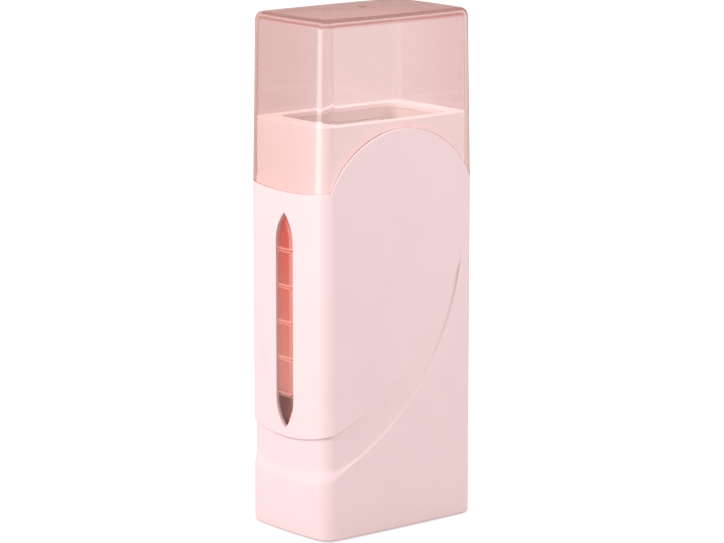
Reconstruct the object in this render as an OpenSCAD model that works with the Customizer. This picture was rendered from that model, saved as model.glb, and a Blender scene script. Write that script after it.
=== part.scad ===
// Roll-on wax heater: a slim casing of two half shells, a well for one wax cartridge with a heater
// plate behind it, and a transparent lift-off lid.
// X runs across the wide face, Y through the depth and Z up. The level window is on the -X side, the
// switch and the mains inlet are on the +X side, and the front wide face looks along -Y.
// The origin is on the surface that the feet stand on, in the middle of the footprint.

/* [Casing] */
// Width of the casing across its wide face
body_w = 72; // [68:0.5:80]
// Depth of the casing through its narrow side
body_d = 46; // [44:0.5:52]
// Radius of the upright corners
corner_r = 5; // [4.6:0.2:6]
// Swell of the wide faces in the middle
wide_crown = 0.5; // [0.3:0.1:0.7]
// Swell of the narrow faces in the middle
narrow_crown = 0.8; // [0.5:0.1:1]
// Wall of the half shells
wall = 2; // [1.8:0.1:2.2]
// Floor of the half shells
floor_t = 2; // [1.8:0.1:2.6]

/* [Lid line] */
// Height of the lid line at the corners
line_z = 126.5; // [122:0.5:134]
// Dip of the lid line in the middle of the narrow sides
line_dip = 1.3; // [0.8:0.1:2]
// Rise of the arch on the wide faces above the lid line
arch_h = 20.6; // [18:0.2:21.5]
// Distance from the foot of the arch, on the lid line, to the casing's side
arch_foot = 3.5; // [2.5:0.5:4.5]

/* [Collar] */
// Height of the collar's rim above the top of the arch
collar_rise = 3.2; // [2.6:0.1:5]
// Inset of the collar from the casing's outer face
collar_inset = 2.4; // [2.3:0.1:2.6]
// Wall of the collar
collar_wall = 1.6; // [1.4:0.1:1.7]
// Thickness of the deck round the well's mouth
deck_t = 1.6; // [1.2:0.1:1.8]

/* [Lid] */
// Height of the middle of the lid's top above the lid line
lid_h = 62.4; // [58:0.2:68]
// Wall of the lid
lid_wall = 1.6; // [1.4:0.1:1.7]
// Thickness of the lid's top
lid_top_t = 1.8; // [1.5:0.1:2.2]
// Draft of the lid's walls in degrees
lid_draft = 1.1; // [0.8:0.1:1.3]
// Radius of the edge round the lid's top
lid_edge_r = 3.2; // [2.4:0.2:3.8]
// Rise of the lid's top from its edge to its middle
lid_crown = 1; // [0.6:0.1:1.4]
// Gap between the lid's lower edge and the casing's shoulder
lid_gap = 0.25; // [0.2:0.05:0.35]
// Radius of the moulding gate mark on the lid's top
gate_r = 1.6; // [1.2:0.1:2]
// Height of the gate mark
gate_h = 0.25; // [0.2:0.05:0.4]

/* [Recessed band] */
// Depth of the band that sweeps round the window side
band_depth = 0.8; // [0.6:0.1:0.9]
// Height of the band's upper edge at the window-side corners
band_top_z = 38; // [37:0.5:40]
// Height of the band's lower edge at the window-side corners
band_low_z = 23.3; // [22:0.5:25]
// Dip of the band's upper edge in the middle of the window side
band_dip = 2.1; // [1.5:0.1:2.5]
// Dip of the band's lower edge in the middle of the window side
band_low_dip = 0.8; // [0.5:0.1:1.2]
// Distance from the point where the band runs out on the wide faces to the casing's side
band_tip_side = 8; // [7:0.5:10]
// Height at which the band runs out
band_tip_z = 98; // [94:0.5:102]
// Radius of the band's upper edge
band_top_r = 91.5; // [90.5:0.5:93]
// Radius of the band's lower edge
band_low_r = 91; // [90:0.5:92]

/* [Level window] */
// Height of the window's lower tip
window_low_z = 39.1; // [38.5:0.1:42]
// Distance from the window's upper tip up to the lid line
window_drop = 8.7; // [8:0.1:12]
// Width of the window
window_w = 9.6; // [8.6:0.2:10.4]
// Radius of the arcs that point the window's ends
window_tip_r = 15; // [12:0.5:18]
// Recess of the lens below the casing's face
lens_recess = 0.5; // [0.3:0.1:0.7]
// Margin of the lens flange behind the casing's wall
lens_flange = 1.2; // [0.8:0.1:1.3]
// Thickness of the lens flange
lens_flange_t = 0.9; // [0.6:0.1:1.2]
// Distance from the window's lower tip to the lowest level mark
mark_low = 12.3; // [11:0.1:14]
// Distance from the highest level mark to the window's upper tip
mark_high = 13.6; // [12:0.1:15]
// How many level marks there are
mark_count = 5; // [3:1:7]
// Height of one level mark's rib
mark_h = 1; // [0.8:0.1:1.4]
// How far a level mark stands out of the lens
mark_proud = 0.25; // [0.15:0.05:0.3]

/* [Cartridge well] */
// Room between the well and the front wall of the casing
front_room = 3; // [2.6:0.1:5]
// Radius of the well's upright corners
well_corner_r = 4; // [3:0.5:5]
// Room between the lamp's bulb and the underside of the well
lamp_room = 1; // [0.4:0.1:3]
// Wall of the well
well_wall = 1.2; // [1:0.1:1.2]
// Floor of the well
well_floor_t = 1.9; // [1.5:0.1:2]
// Margin of the deck's mouth outside the well's inner face
mouth_margin = 0.3; // [0.2:0.1:0.5]

/* [Heater] */
// Distance from the side of the plate's face to the side of the well
plate_side = 5.2; // [5:0.1:8]
// Distance from the end of the plate's face to the end of the well
plate_end = 3.85; // [3.5:0.05:7]
// Margin of the plate's flange behind the well
plate_margin = 3; // [2.5:0.1:3.2]
// Thickness of the plate's flange
plate_t = 1.5; // [1.2:0.1:1.6]
// Width of the heating element
ptc_w = 26; // [24:0.5:28]
// Height of the heating element
ptc_h = 20; // [18:0.5:22]
// Thickness of the heating element
ptc_t = 1.6; // [1.2:0.1:1.6]
// Offset of the heating element below the middle of the plate
ptc_drop = 3.45; // [-4:0.05:6]
// Thickness of one electrode sheet
electrode_t = 0.4; // [0.3:0.05:0.4]
// Width of an electrode's tab
tab_w = 4; // [3:0.5:5]
// Length of an electrode's tab
tab_l = 6; // [4:0.5:6.5]
// Thickness of the insulating film
film_t = 0.2; // [0.1:0.05:0.2]
// Margin of the insulating film round the element
film_margin = 1; // [0.5:0.1:1.2]
// Thickness of the spring clamp's steel
clamp_t = 0.5; // [0.4:0.05:0.5]
// Width of the spring clamp
clamp_w = 14; // [10:0.5:16]
// Length of each foot of the spring clamp
clamp_foot_l = 7; // [6.5:0.5:9]
// Radius of the thermal fuse
fuse_r = 1.4; // [1.2:0.1:1.4]
// Length of the thermal fuse
fuse_l = 9; // [8:0.5:10]
// Length of the fuse's insulating sleeve
sleeve_l = 14; // [12:0.5:16]
// Wall of the fuse's insulating sleeve
sleeve_wall = 0.25; // [0.2:0.05:0.3]
// Distance of the thermal fuse below the middle of the heating element
fuse_drop = 26; // [24:0.5:30]
// Gap between the thickest piece on the plate and the rear wall
heater_gap = 0.15; // [0.1:0.05:0.4]

/* [Switch] */
// Gap between the inlet's flange and the pad that carries the switch
switch_gap = 1.2; // [0.8:0.1:2]
// Margin of that pad above and below the bezel
pad_end = 3; // [2.6:0.1:3.4]
// Depth of the recess that the switch sits in
switch_recess = 3; // [2.8:0.1:3.2]
// Height of the switch's bezel
bezel_h = 16; // [15:0.1:18]
// Width of the switch's bezel
bezel_w = 11.2; // [10.8:0.1:12]
// Thickness of the switch's bezel
bezel_t = 1.4; // [1.2:0.1:1.6]
// Depth of the switch's body behind its bezel
switch_depth = 10.5; // [10:0.5:12]
// Height of the rocker
rocker_h = 11.8; // [11:0.1:11.8]
// Width of the rocker
rocker_w = 7.8; // [7:0.1:8]
// Tilt of the rocker to each side in degrees
rocker_tilt = 8; // [6:0.5:9]
// Radius of the rocker's trunnions
trunnion_r = 0.9; // [0.7:0.05:1]
// Height of the rocker's ends above its pivot
rocker_rise = 1.9; // [1.7:0.05:1.9]

/* [Mains inlet] */
// Gap between the inlet's flange and the floor
inlet_gap = 2.6; // [2:0.1:4]
// Width of the inlet's recess
inlet_w = 15.2; // [14.8:0.1:15.6]
// Height of the inlet's recess
inlet_h = 8.8; // [8.4:0.1:9]
// Depth of the inlet's recess
inlet_depth = 10; // [9.5:0.1:10.5]
// Wall of the inlet's housing
inlet_wall = 1.1; // [0.9:0.1:1.2]
// Thickness of the inlet's back wall
inlet_back = 2.4; // [2:0.1:2.8]
// Distance between the inlet's pins
pin_pitch = 8.6; // [8.4:0.1:8.8]
// Radius of the inlet's pins
pin_r = 1.19; // [1.1:0.01:1.25]

/* [Lamp] */
// Gap between the lamp's lens and the pad that carries the switch
lamp_gap = 0.8; // [0.5:0.1:2]
// Radius of the lamp's lens
lens_r = 2; // [1.8:0.1:2.1]
// Radius of the lens flange inside the casing
lens_flange_r = 2.8; // [2.6:0.1:2.8]
// Radius of the lamp's bulb
bulb_r = 1.8; // [1.5:0.1:1.9]
// Length of the lamp's bulb
bulb_l = 7.2; // [6.5:0.1:7.6]

/* [Fasteners and feet] */
// Distance of the upper casing screws below the lid line
upper_screw_drop = 4; // [3.8:0.1:5]
// Distance of the lower casing screws from the casing's side
lower_screw_side = 24; // [23.5:0.5:26]
// Height of the lower casing screws above the floor
lower_screw_rise = 6.4; // [5:0.2:7]
// Radius of the screw bosses
boss_r = 3.3; // [3:0.1:3.6]
// Gap between the upper screw bosses and the well
boss_gap = 0.1; // [0.1:0.05:0.3]
// Radius of the casing screws' thread
screw_r = 1.2; // [1.1:0.05:1.25]
// Radius of the casing screws' head
screw_head_r = 2.25; // [2.1:0.05:2.3]
// Height of the casing screws' head
screw_head_h = 1.6; // [1.2:0.1:2]
// Depth of the screw head's seat in front of the casing's middle plane
screw_seat_y = 8; // [6:0.5:10]
// Length of the screws' thread past the middle plane
screw_reach = 8; // [6:0.5:9]
// Radius of the feet
foot_r = 3.5; // [3:0.1:4]
// Thickness of the feet
foot_t = 1.5; // [1.3:0.1:1.6]
// How far the feet stand out of the floor
foot_proud = 0.6; // [0.5:0.1:0.8]

/* [Ribs and clearances] */
// Thickness of the inner ribs
rib_t = 1.6; // [1.2:0.1:1.8]
// Running gap between ribs and the pieces that they locate
rib_gap = 0.1; // [0.05:0.05:0.15]
// Gap between a piece and the slot or bore that holds it
fit_gap = 0.05; // [0.03:0.01:0.08]
// Gap at the sides of the rocker
rocker_gap = 0.15; // [0.1:0.05:0.2]

/* [Wiring] */
// Radius of the insulated supply wires
wire_r = 0.8; // [0.7:0.05:0.85]
// Radius of the lamp's leads
lead_r = 0.4; // [0.3:0.05:0.5]
// Wall of the push-on connectors
connector_wall = 0.7; // [0.6:0.05:0.8]
// Length of the push-on connectors
connector_l = 6; // [5:0.5:6]
// Thickness of the switch's flat terminals
blade_t = 0.8; // [0.6:0.1:0.8]
// Width of the switch's flat terminals
blade_w = 4.8; // [4:0.2:5]
// Distance between the switch's two terminals
blade_pitch = 7; // [6.5:0.1:7.5]

/* [Terminal block] */
// Width of the terminal block
block_w = 18; // [17:0.5:19]
// Depth of the terminal block
block_d = 9; // [8:0.5:9]
// Height of the terminal block
block_h = 14; // [13:0.5:15]
// Offset of the terminal block from the middle, towards the window
block_x = 2; // [1.5:0.5:3]
// Distance between the block's two ways
way_pitch = 8; // [7.5:0.1:8.5]
// Outer radius of the brass sleeves
way_r = 1.9; // [1.7:0.1:2]
// Bore of the brass sleeves
way_bore_r = 1; // [0.95:0.05:1.1]

/* [Hidden] */
$fn = 64;

shell_pink = [0.97, 0.85, 0.85];
lid_pink = [0.88, 0.68, 0.65, 0.5];
window_red = [0.80, 0.30, 0.27, 0.7];
rubber_grey = [0.35, 0.33, 0.33];
steel = [0.72, 0.72, 0.74];
brass = [0.80, 0.66, 0.36];

eps = 0.01;
far = 400;
round_fn = 720;
half_w = body_w / 2;
half_d = body_d / 2;
floor_z = foot_proud + floor_t;
in_w = half_w - wall;
in_d = half_d - wall;
weld = 0.5;

// Radii of the big circles that give the faces their swell.
function swell_r(half, crown) = (half * half + crown * crown) / (2 * crown);
corner_x = half_w - narrow_crown - corner_r;
corner_y = half_d - wide_crown - corner_r;
wide_r = swell_r(corner_x, wide_crown);
narrow_r = swell_r(corner_y, narrow_crown);

// How far a narrow face, and the wall behind it, falls back at the distance y from its middle.
function wall_drop(y) = narrow_r - sqrt(narrow_r * narrow_r - y * y);

// Lid line: an arch on the wide faces and a shallow dip on the narrow sides.
arch_half_w = half_w - arch_foot;
arch_r = (arch_half_w * arch_half_w + arch_h * arch_h) / (2 * arch_h);
arch_z = line_z + arch_h - arch_r;
rim_z = line_z + arch_h + collar_rise;
lid_top_z = line_z + lid_h;
slab_y = half_d - collar_inset - collar_wall - weld;
dip_margin = 0.6;
dip_half = slab_y - dip_margin;
dip_r = swell_r(dip_half, line_dip);

// The pieces in the +X wall stand above each other: mains inlet, switch on its pad, pilot lamp.
inlet_flange_t = 1.5;
inlet_flange_margin = 1.3;
inlet_half_h = inlet_h / 2 + inlet_wall + inlet_flange_margin;
inlet_half_w = inlet_w / 2 + inlet_wall + inlet_flange_margin;
inlet_z = floor_z + inlet_gap + inlet_half_h;
switch_z = inlet_z + inlet_half_h + switch_gap + pad_end + bezel_h / 2;
lamp_z = switch_z + bezel_h / 2 + pad_end + lamp_gap + lens_flange_r;

// The casing's screws, the upper ones between the well and the side walls.
upper_screw_x = in_w - boss_gap - boss_r;
upper_screw_z = line_z - upper_screw_drop;
lower_screw_x = half_w - lower_screw_side;
lower_screw_z = floor_z + lower_screw_rise;

// Plate, heating element and fuse, stacked from the rear wall towards the well.
element_room = 2 * film_t + 2 * electrode_t + ptc_t + clamp_t;
fuse_room = 2 * (fuse_r + fit_gap + sleeve_wall) + fit_gap;
heater_room = max(element_room, fuse_room) + heater_gap;
plate_back_y = in_d - heater_room;
electrode_y = plate_back_y + film_t;
ptc_y = electrode_y + electrode_t;
electrode2_y = ptc_y + ptc_t;
film2_y = electrode2_y + electrode_t;
clamp_y = film2_y + film_t;
fuse_y = plate_back_y + fit_gap + fuse_r + fit_gap + sleeve_wall;

// The well takes the room that is left, between the screws and in front of the plate.
well_back_y = plate_back_y - plate_t;
well_rear_y = well_back_y - well_wall;
well_front_y = -in_d + front_room + well_wall;
well_d = well_rear_y - well_front_y;
well_mid_y = (well_rear_y + well_front_y) / 2;
well_w = 2 * (upper_screw_x - boss_r - boss_gap - well_wall);
well_low_z = lamp_z + bulb_r + lamp_room;
well_floor_z = well_low_z + well_floor_t;
well_rim_z = rim_z - deck_t - rib_gap;

// The plate's face fills a window in the well's rear wall.
plate_window_gap = 0.2;
plate_w = well_w - 2 * plate_side;
plate_h = well_rim_z - well_floor_z - 2 * plate_end;
plate_mid_z = (well_floor_z + well_rim_z) / 2;
ptc_z = plate_mid_z - ptc_drop;
fuse_z = ptc_z - fuse_drop;
tab_x = ptc_w / 2 - tab_w / 2;
clamp_side_gap = 0.2;
clamp_screw_z = ptc_h / 2 + film_margin + clamp_t + clamp_foot_l / 2 + weld;
clamp_screw_r = 1.2;
clamp_head_r = 2.2;
clamp_head_h = 1.4;

// Level window and its lens, in the -X wall.
window_top_z = line_z - window_drop;
mark_z = window_low_z + mark_low;
mark_pitch = (window_top_z - mark_high - mark_z) / (mark_count - 1);
lens_face_x = half_w - lens_recess;
lens_seat_x = in_w - wall_drop(window_w / 2 + lens_flange) - fit_gap;
lens_back_x = lens_seat_x - lens_flange_t;

// Switch in the +X wall: the recess floor carries the bezel and a pad carries the recess.
switch_face_x = half_w - switch_recess;
pad_t = 2;
pad_margin = 2;
recess_margin = 1.2;
switch_front_x = switch_face_x + bezel_t;
switch_back_x = switch_face_x - switch_depth;
switch_body_w = bezel_w - 1.4;
switch_body_h = bezel_h - 1.2;
rocker_x = switch_face_x + 0.2;
rocker_room_h = rocker_h + 1.6;
rocker_room_x = switch_face_x - 4.5;
trunnion_l = 0.8;
blade_x = switch_back_x - connector_l;

// Mains inlet in the +X wall: a lip in the cut-out, a flange behind it and a body with the recess.
inlet_front_x = half_w - 0.6;
inlet_floor_x = inlet_front_x - inlet_depth;
inlet_back_x = inlet_floor_x - inlet_back;
inlet_flange_x = in_w - wall_drop(inlet_half_w) - fit_gap;
pin_tip_x = inlet_front_x - 0.8;
pin_tail_x = inlet_back_x - 3.5;

// Pilot lamp in the +X wall.
lamp_flange_x = in_w - wall_drop(lens_flange_r) - fit_gap;
lamp_flange_t = 0.9;
bulb_front_x = lamp_flange_x - lamp_flange_t - fit_gap;
bulb_back_x = bulb_front_x - bulb_l;

// Terminal block against the rear wall.
block_back_y = in_d - 0.4;
block_front_y = block_back_y - block_d;
way_y = block_back_y - block_d / 2;
block_z = switch_z;
block_low_z = block_z - block_h / 2;
block_top_z = block_z + block_h / 2;
way_entry = 2.5;
live_x = -block_x - way_pitch / 2;
neutral_x = -block_x + way_pitch / 2;
way_screw_r = 0.9;
block_screw_r = 1.1;

// ---------- outlines and helpers ----------

// The casing's outline, drawn in by inset all round: two crossed strips with swollen ends, and the
// corner circles.
module outline(inset) {
    intersection() {
        square([2 * corner_x, 2 * half_d], center = true);
        translate([0, half_d - wide_r - inset]) circle(wide_r, $fn = round_fn);
        translate([0, wide_r - half_d + inset]) circle(wide_r, $fn = round_fn);
    }
    intersection() {
        square([2 * half_w, 2 * corner_y], center = true);
        translate([half_w - narrow_r - inset, 0]) circle(narrow_r, $fn = round_fn);
        translate([narrow_r - half_w + inset, 0]) circle(narrow_r, $fn = round_fn);
    }
    for (sx = [-1, 1], sy = [-1, 1]) {
        translate([sx * corner_x, sy * corner_y]) circle(corner_r - inset);
    }
}

// A rectangle with round corners, centred.
module round_rect(w, d, r) {
    square([w, d - 2 * r], center = true);
    square([w - 2 * r, d], center = true);
    for (sx = [-1, 1], sy = [-1, 1]) {
        translate([sx * (w / 2 - r), sy * (d / 2 - r)]) circle(r);
    }
}

// A slot with half-round ends that lie along its first direction, centred.
module stadium(w, h) {
    square([w - h, h], center = true);
    for (s = [-1, 1]) translate([s * (w - h) / 2, 0]) circle(h / 2);
}

// Turns a drawing with points (x, z) into a solid from y0 to y1.
module along_y(y0, y1) {
    translate([0, y1, 0]) rotate([90, 0, 0]) linear_extrude(y1 - y0) children();
}

// Turns a drawing with points (y, z) into a solid from x0 to x1.
module along_x(x0, x1) {
    translate([x0, 0, 0]) rotate([90, 0, 90]) linear_extrude(x1 - x0) children();
}

// A box between two opposite corners.
module block(low, high) {
    translate(low) cube(high - low);
}

// Everything below the lid line, moved outwards by grow.
module below_line(grow) {
    for (s = [-1, 1]) {
        along_y(s > 0 ? slab_y : -far, s > 0 ? far : -slab_y) {
            translate([-far, -far]) square([2 * far, far + line_z + grow]);
            translate([0, arch_z]) circle(arch_r + grow);
        }
    }
    along_x(-far, far) difference() {
        translate([-far, -far]) square([2 * far, far + line_z + grow]);
        translate([0, line_z - line_dip + dip_r]) circle(dip_r - grow, $fn = round_fn);
    }
}

// ---------- casing ----------

// Centre of a circle of radius r through (x1, z1) and (x2, z2), on the upper left side.
function chord_mid(x1, z1, x2, z2) = [(x1 + x2) / 2, (z1 + z2) / 2];
function arc_rise(x1, z1, x2, z2, r) = sqrt(r * r - (pow(x2 - x1, 2) + pow(z2 - z1, 2)) / 4);
function arc_centre(x1, z1, x2, z2, r) = chord_mid(x1, z1, x2, z2)
    + [z1 - z2, x2 - x1] * arc_rise(x1, z1, x2, z2, r) / norm([x2 - x1, z2 - z1]);

band_tip_x = half_w - band_tip_side;
band_top_c = arc_centre(-half_w, band_top_z, band_tip_x, band_tip_z, band_top_r);
band_low_c = arc_centre(-half_w, band_low_z, band_tip_x, band_tip_z, band_low_r);

// Height at x of an arc on the wide face, with centre c and radius r.
function arc_z(c, r, x) = c.y - sqrt(r * r - (x - c.x) * (x - c.x));

// On the window side both edges dip from the height that they have where the corners begin.
band_split_x = -half_w + corner_r;
band_top_edge_z = arc_z(band_top_c, band_top_r, band_split_x);
band_low_edge_z = arc_z(band_low_c, band_low_r, band_split_x);
top_edge_dip = band_top_edge_z - band_top_z + band_dip;
low_edge_dip = band_low_edge_z - band_low_z + band_low_dip;

// The band on the wide faces: what lies inside the lower arc and outside the upper one.
module band_face() {
    difference() {
        translate(band_low_c) circle(band_low_r, $fn = round_fn);
        translate(band_top_c) circle(band_top_r, $fn = round_fn);
        translate([-far, -far]) square([far + band_split_x, 2 * far]);
    }
}

// The band on the window side: what lies above the lower dip and below the upper one.
module band_side() {
    top_r = swell_r(half_d, top_edge_dip);
    low_r = swell_r(half_d, low_edge_dip);
    intersection() {
        translate([0, band_low_edge_z - low_edge_dip + low_r]) circle(low_r, $fn = round_fn);
        difference() {
            translate([-half_d - 1, 0]) square([body_d + 2, band_top_z + 10]);
            translate([0, band_top_edge_z - top_edge_dip + top_r]) circle(top_r, $fn = round_fn);
        }
    }
}

// The two stretches of the recess, round the core that stays.
module band_core() {
    translate([0, 0, -1]) linear_extrude(rim_z) outline(band_depth);
}

module band_cuts() {
    for (s = [-1, 1]) {
        difference() {
            along_y(s > 0 ? slab_y : -half_d - 1, s > 0 ? half_d + 1 : -slab_y) band_face();
            band_core();
        }
    }
    difference() {
        along_x(-half_w - 1, band_split_x) band_side();
        band_core();
    }
}

// The pointed slot of the level window, grown by grow.
module window_shape(grow) {
    r = window_tip_r + grow;
    side = window_tip_r - window_w / 2;
    reach = sqrt(window_tip_r * window_tip_r - side * side);
    low = window_low_z + reach;
    top = window_top_z - reach;
    translate([-window_w / 2 - grow, low]) square([window_w + 2 * grow, top - low]);
    for (z = [low, top]) {
        intersection() {
            translate([side, z]) circle(r);
            translate([-side, z]) circle(r);
        }
    }
}

module casing_hollow() {
    intersection() {
        translate([0, 0, floor_z]) linear_extrude(far) outline(wall);
        below_line(-wall);
    }
    translate([0, 0, floor_z]) {
        linear_extrude(rim_z - deck_t - floor_z) outline(collar_inset + collar_wall);
    }
}

// The well's mouth in the deck.
module mouth() {
    translate([0, well_mid_y, 0]) linear_extrude(far) {
        round_rect(well_w + 2 * mouth_margin, well_d + 2 * mouth_margin, well_corner_r + mouth_margin);
    }
}

module casing() {
    difference() {
        union() {
            intersection() {
                translate([0, 0, foot_proud]) linear_extrude(far) outline(0);
                below_line(0);
            }
            translate([0, 0, foot_proud]) linear_extrude(rim_z - foot_proud) outline(collar_inset);
        }
        casing_hollow();
        translate([0, 0, well_floor_z]) mouth();
        band_cuts();
    }
}

// Pad inside the +X wall that carries the switch's recess.
module switch_pad() {
    block(
        [switch_face_x - pad_t, -bezel_w / 2 - pad_margin - recess_margin, switch_z - bezel_h / 2 - pad_end],
        [in_w + weld, bezel_w / 2 + pad_margin + recess_margin, switch_z + bezel_h / 2 + pad_end]
    );
}

// Ribs under the well and beside it; s is -1 in the front half and 1 in the rear half.
post_x = half_w - 16;
post_y = in_d - 11;
side_rib_y = in_d - 7;
front_rib_x = 15;
rear_rib_x = plate_w / 2 + 1.7;
rib_low_z = well_floor_z + 6;
rib_top_z = line_z - 10;
module ribs(s) {
    back = in_d + weld;
    for (x = [-post_x, post_x]) {
        along_y(min(s * post_y, s * back), max(s * post_y, s * back)) {
            translate([x - rib_t / 2, floor_z - weld]) square([rib_t, well_low_z - floor_z + weld]);
        }
    }
    side_x = well_w / 2 + well_wall + rib_gap;
    for (sx = [-1, 1]) {
        along_x(sx > 0 ? side_x : -in_w - weld, sx > 0 ? in_w + weld : -side_x) {
            translate([s * side_rib_y - rib_t / 2, rib_low_z]) square([rib_t, rib_top_z - rib_low_z]);
        }
    }
    rib_x = s < 0 ? front_rib_x : rear_rib_x;
    seat_y = s < 0 ? well_wall - well_front_y + rib_gap : plate_back_y + rib_gap;
    for (x = [-rib_x, rib_x]) {
        along_y(min(s * seat_y, s * back), max(s * seat_y, s * back)) {
            translate([x - rib_t / 2, rib_low_z]) square([rib_t, rib_top_z - rib_low_z]);
        }
    }
}

// Where the four casing screws go, as (x, z).
screw_places = [
    for (sx = [-1, 1]) each [[sx * upper_screw_x, upper_screw_z], [sx * lower_screw_x, lower_screw_z]]
];

module bosses(s) {
    back = in_d + weld;
    for (p = screw_places) {
        along_y(min(0, s * back), max(0, s * back)) translate(p) circle(boss_r);
    }
}

module screw_holes(s) {
    for (p = screw_places) {
        if (s < 0) along_y(-screw_reach - 1, 0) translate(p) circle(screw_r + fit_gap);
        if (s > 0) along_y(-eps, screw_seat_y + eps) translate(p) circle(screw_r + 0.2);
        if (s > 0) along_y(screw_seat_y, far) translate(p) circle(screw_head_r + 0.15);
    }
}

module foot_places() {
    for (sx = [-1, 1], sy = [-1, 1]) {
        translate([sx * (half_w - corner_r - 2), sy * (half_d - corner_r - 1.5), 0]) children();
    }
}

// What the window, switch, inlet, lamp and feet need cut out of the casing.
module casing_cuts() {
    along_x(-far, -in_w + 1) window_shape(fit_gap);
    block(
        [switch_face_x, -bezel_w / 2 - recess_margin, switch_z - bezel_h / 2 - recess_margin],
        [far, bezel_w / 2 + recess_margin, switch_z + bezel_h / 2 + recess_margin]
    );
    block(
        [0, -switch_body_w / 2 - fit_gap, switch_z - switch_body_h / 2 - fit_gap],
        [far, switch_body_w / 2 + fit_gap, switch_z + switch_body_h / 2 + fit_gap]
    );
    along_x(in_w - 2, far) translate([0, inlet_z]) {
        stadium(inlet_w + 2 * inlet_wall + 2 * fit_gap, inlet_h + 2 * inlet_wall + 2 * fit_gap);
    }
    along_x(in_w - 2, far) translate([0, lamp_z]) circle(lens_r + fit_gap);
    foot_places() translate([0, 0, -1]) cylinder(r = foot_r + fit_gap, h = foot_t + 1);
}

module half_shell(s) {
    difference() {
        union() {
            intersection() {
                casing();
                block([-far, min(0, s * far), -1], [far, max(0, s * far), far]);
            }
            ribs(s);
            bosses(s);
            intersection() {
                switch_pad();
                block([0, min(0, s * far), 0], [far, max(0, s * far), far]);
            }
        }
        casing_cuts();
        screw_holes(s);
    }
}

module front_shell() {
    color(shell_pink) half_shell(-1);
}

module rear_shell() {
    color(shell_pink) {
        difference() {
            union() {
                half_shell(1);
                // Pad that carries the terminal block.
                block(
                    [-block_x - block_w / 2 + 1, block_back_y, block_low_z + 1],
                    [-block_x + block_w / 2 - 1, in_d + weld, block_top_z - 1]
                );
            }
            along_y(0, in_d + 1.2) translate([-block_x, block_z]) circle(block_screw_r + fit_gap);
        }
    }
}

// ---------- lid ----------

// One side of the casing's outline as points, drawn in by inset: a quarter turn of the corner, then the
// swell of the next face. The full outline is four such stretches.
corner_steps = 6;
face_steps = 2;
function swell(t, crown) = crown * (1 - t * t);
function corner_at(inset, a, sx, sy) = [
    sx * corner_x + (corner_r - inset) * cos(a),
    sy * corner_y + (corner_r - inset) * sin(a)
];
function wide_at(inset, t, sy) = [
    -sy * t * corner_x,
    sy * (half_d - wide_crown - inset + swell(t, wide_crown))
];
function narrow_at(inset, t, sx) = [
    sx * (half_w - narrow_crown - inset + swell(t, narrow_crown)),
    sx * t * corner_y
];
function corner_run(inset, a0, sx, sy) =
    [for (i = [0:corner_steps]) corner_at(inset, a0 + 90 * i / corner_steps, sx, sy)];
function between(n) = [for (i = [1:n]) -1 + 2 * i / (n + 1)];
function lid_ring(inset) = concat(
    corner_run(inset, 0, 1, 1), [for (t = between(face_steps)) wide_at(inset, t, 1)],
    corner_run(inset, 90, -1, 1), [for (t = between(face_steps)) narrow_at(inset, t, -1)],
    corner_run(inset, 180, -1, -1), [for (t = between(face_steps)) wide_at(inset, t, -1)],
    corner_run(inset, 270, 1, -1), [for (t = between(face_steps)) narrow_at(inset, t, 1)]
);

// A closed solid through rings of equal length, with flat ends.
module skin(rings) {
    n = len(rings[0]);
    last = len(rings) - 1;
    faces = concat(
        [[for (i = [0:n - 1]) i]],
        [for (k = [0:last - 1], i = [0:n - 1]) each [
            [k * n + i, (k + 1) * n + (i + 1) % n, k * n + (i + 1) % n],
            [k * n + i, (k + 1) * n + i, (k + 1) * n + (i + 1) % n]
        ]],
        [[for (i = [n - 1:-1:0]) last * n + i]]
    );
    polyhedron([for (ring = rings) each ring], faces);
}

// The lid's body as one closed form, drawn in by inset, with its top at top_z.
lid_low_z = line_z - line_dip - 2;
edge_steps = 4;
top_steps = 2;
function lid_inset(z) = (z - line_z) * tan(lid_draft);
function lifted(ring, k, z) = [for (p = ring) [p.x * k, p.y * k, z]];
module lid_form(inset, top_z) {
    r = lid_edge_r - inset;
    edge_z = top_z - lid_crown;
    wall_z = edge_z - r;
    wall_inset = inset + lid_inset(wall_z);
    skin(concat(
        [lifted(lid_ring(inset + lid_inset(lid_low_z)), 1, lid_low_z)],
        [for (i = [0:edge_steps])
            let (a = 90 * i / edge_steps)
            lifted(lid_ring(wall_inset + r * (1 - cos(a))), 1, wall_z + r * sin(a))],
        [for (i = [1:top_steps])
            let (k = 1 - 0.9 * i / top_steps)
            lifted(lid_ring(wall_inset + r), k, edge_z + lid_crown * (1 - k * k))]
    ));
}

module lid() {
    color(lid_pink) {
        difference() {
            lid_form(0, lid_top_z);
            lid_form(lid_wall, lid_top_z - lid_top_t);
            below_line(lid_gap);
        }
        translate([0, 0, lid_top_z - lid_crown]) cylinder(r = gate_r, h = lid_crown + gate_h);
    }
}

// ---------- level window ----------

module window_lens() {
    color(window_red) {
        along_x(-lens_face_x, -lens_back_x - lens_flange_t / 2) window_shape(0);
        along_x(-lens_seat_x, -lens_back_x) window_shape(lens_flange);
        for (i = [0:mark_count - 1]) {
            block(
                [-lens_face_x - mark_proud, -window_w / 2 + 0.8, mark_z + i * mark_pitch - mark_h / 2],
                [-lens_face_x + 0.2, window_w / 2 - 0.8, mark_z + i * mark_pitch + mark_h / 2]
            );
        }
    }
}

// ---------- well and heater ----------

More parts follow.
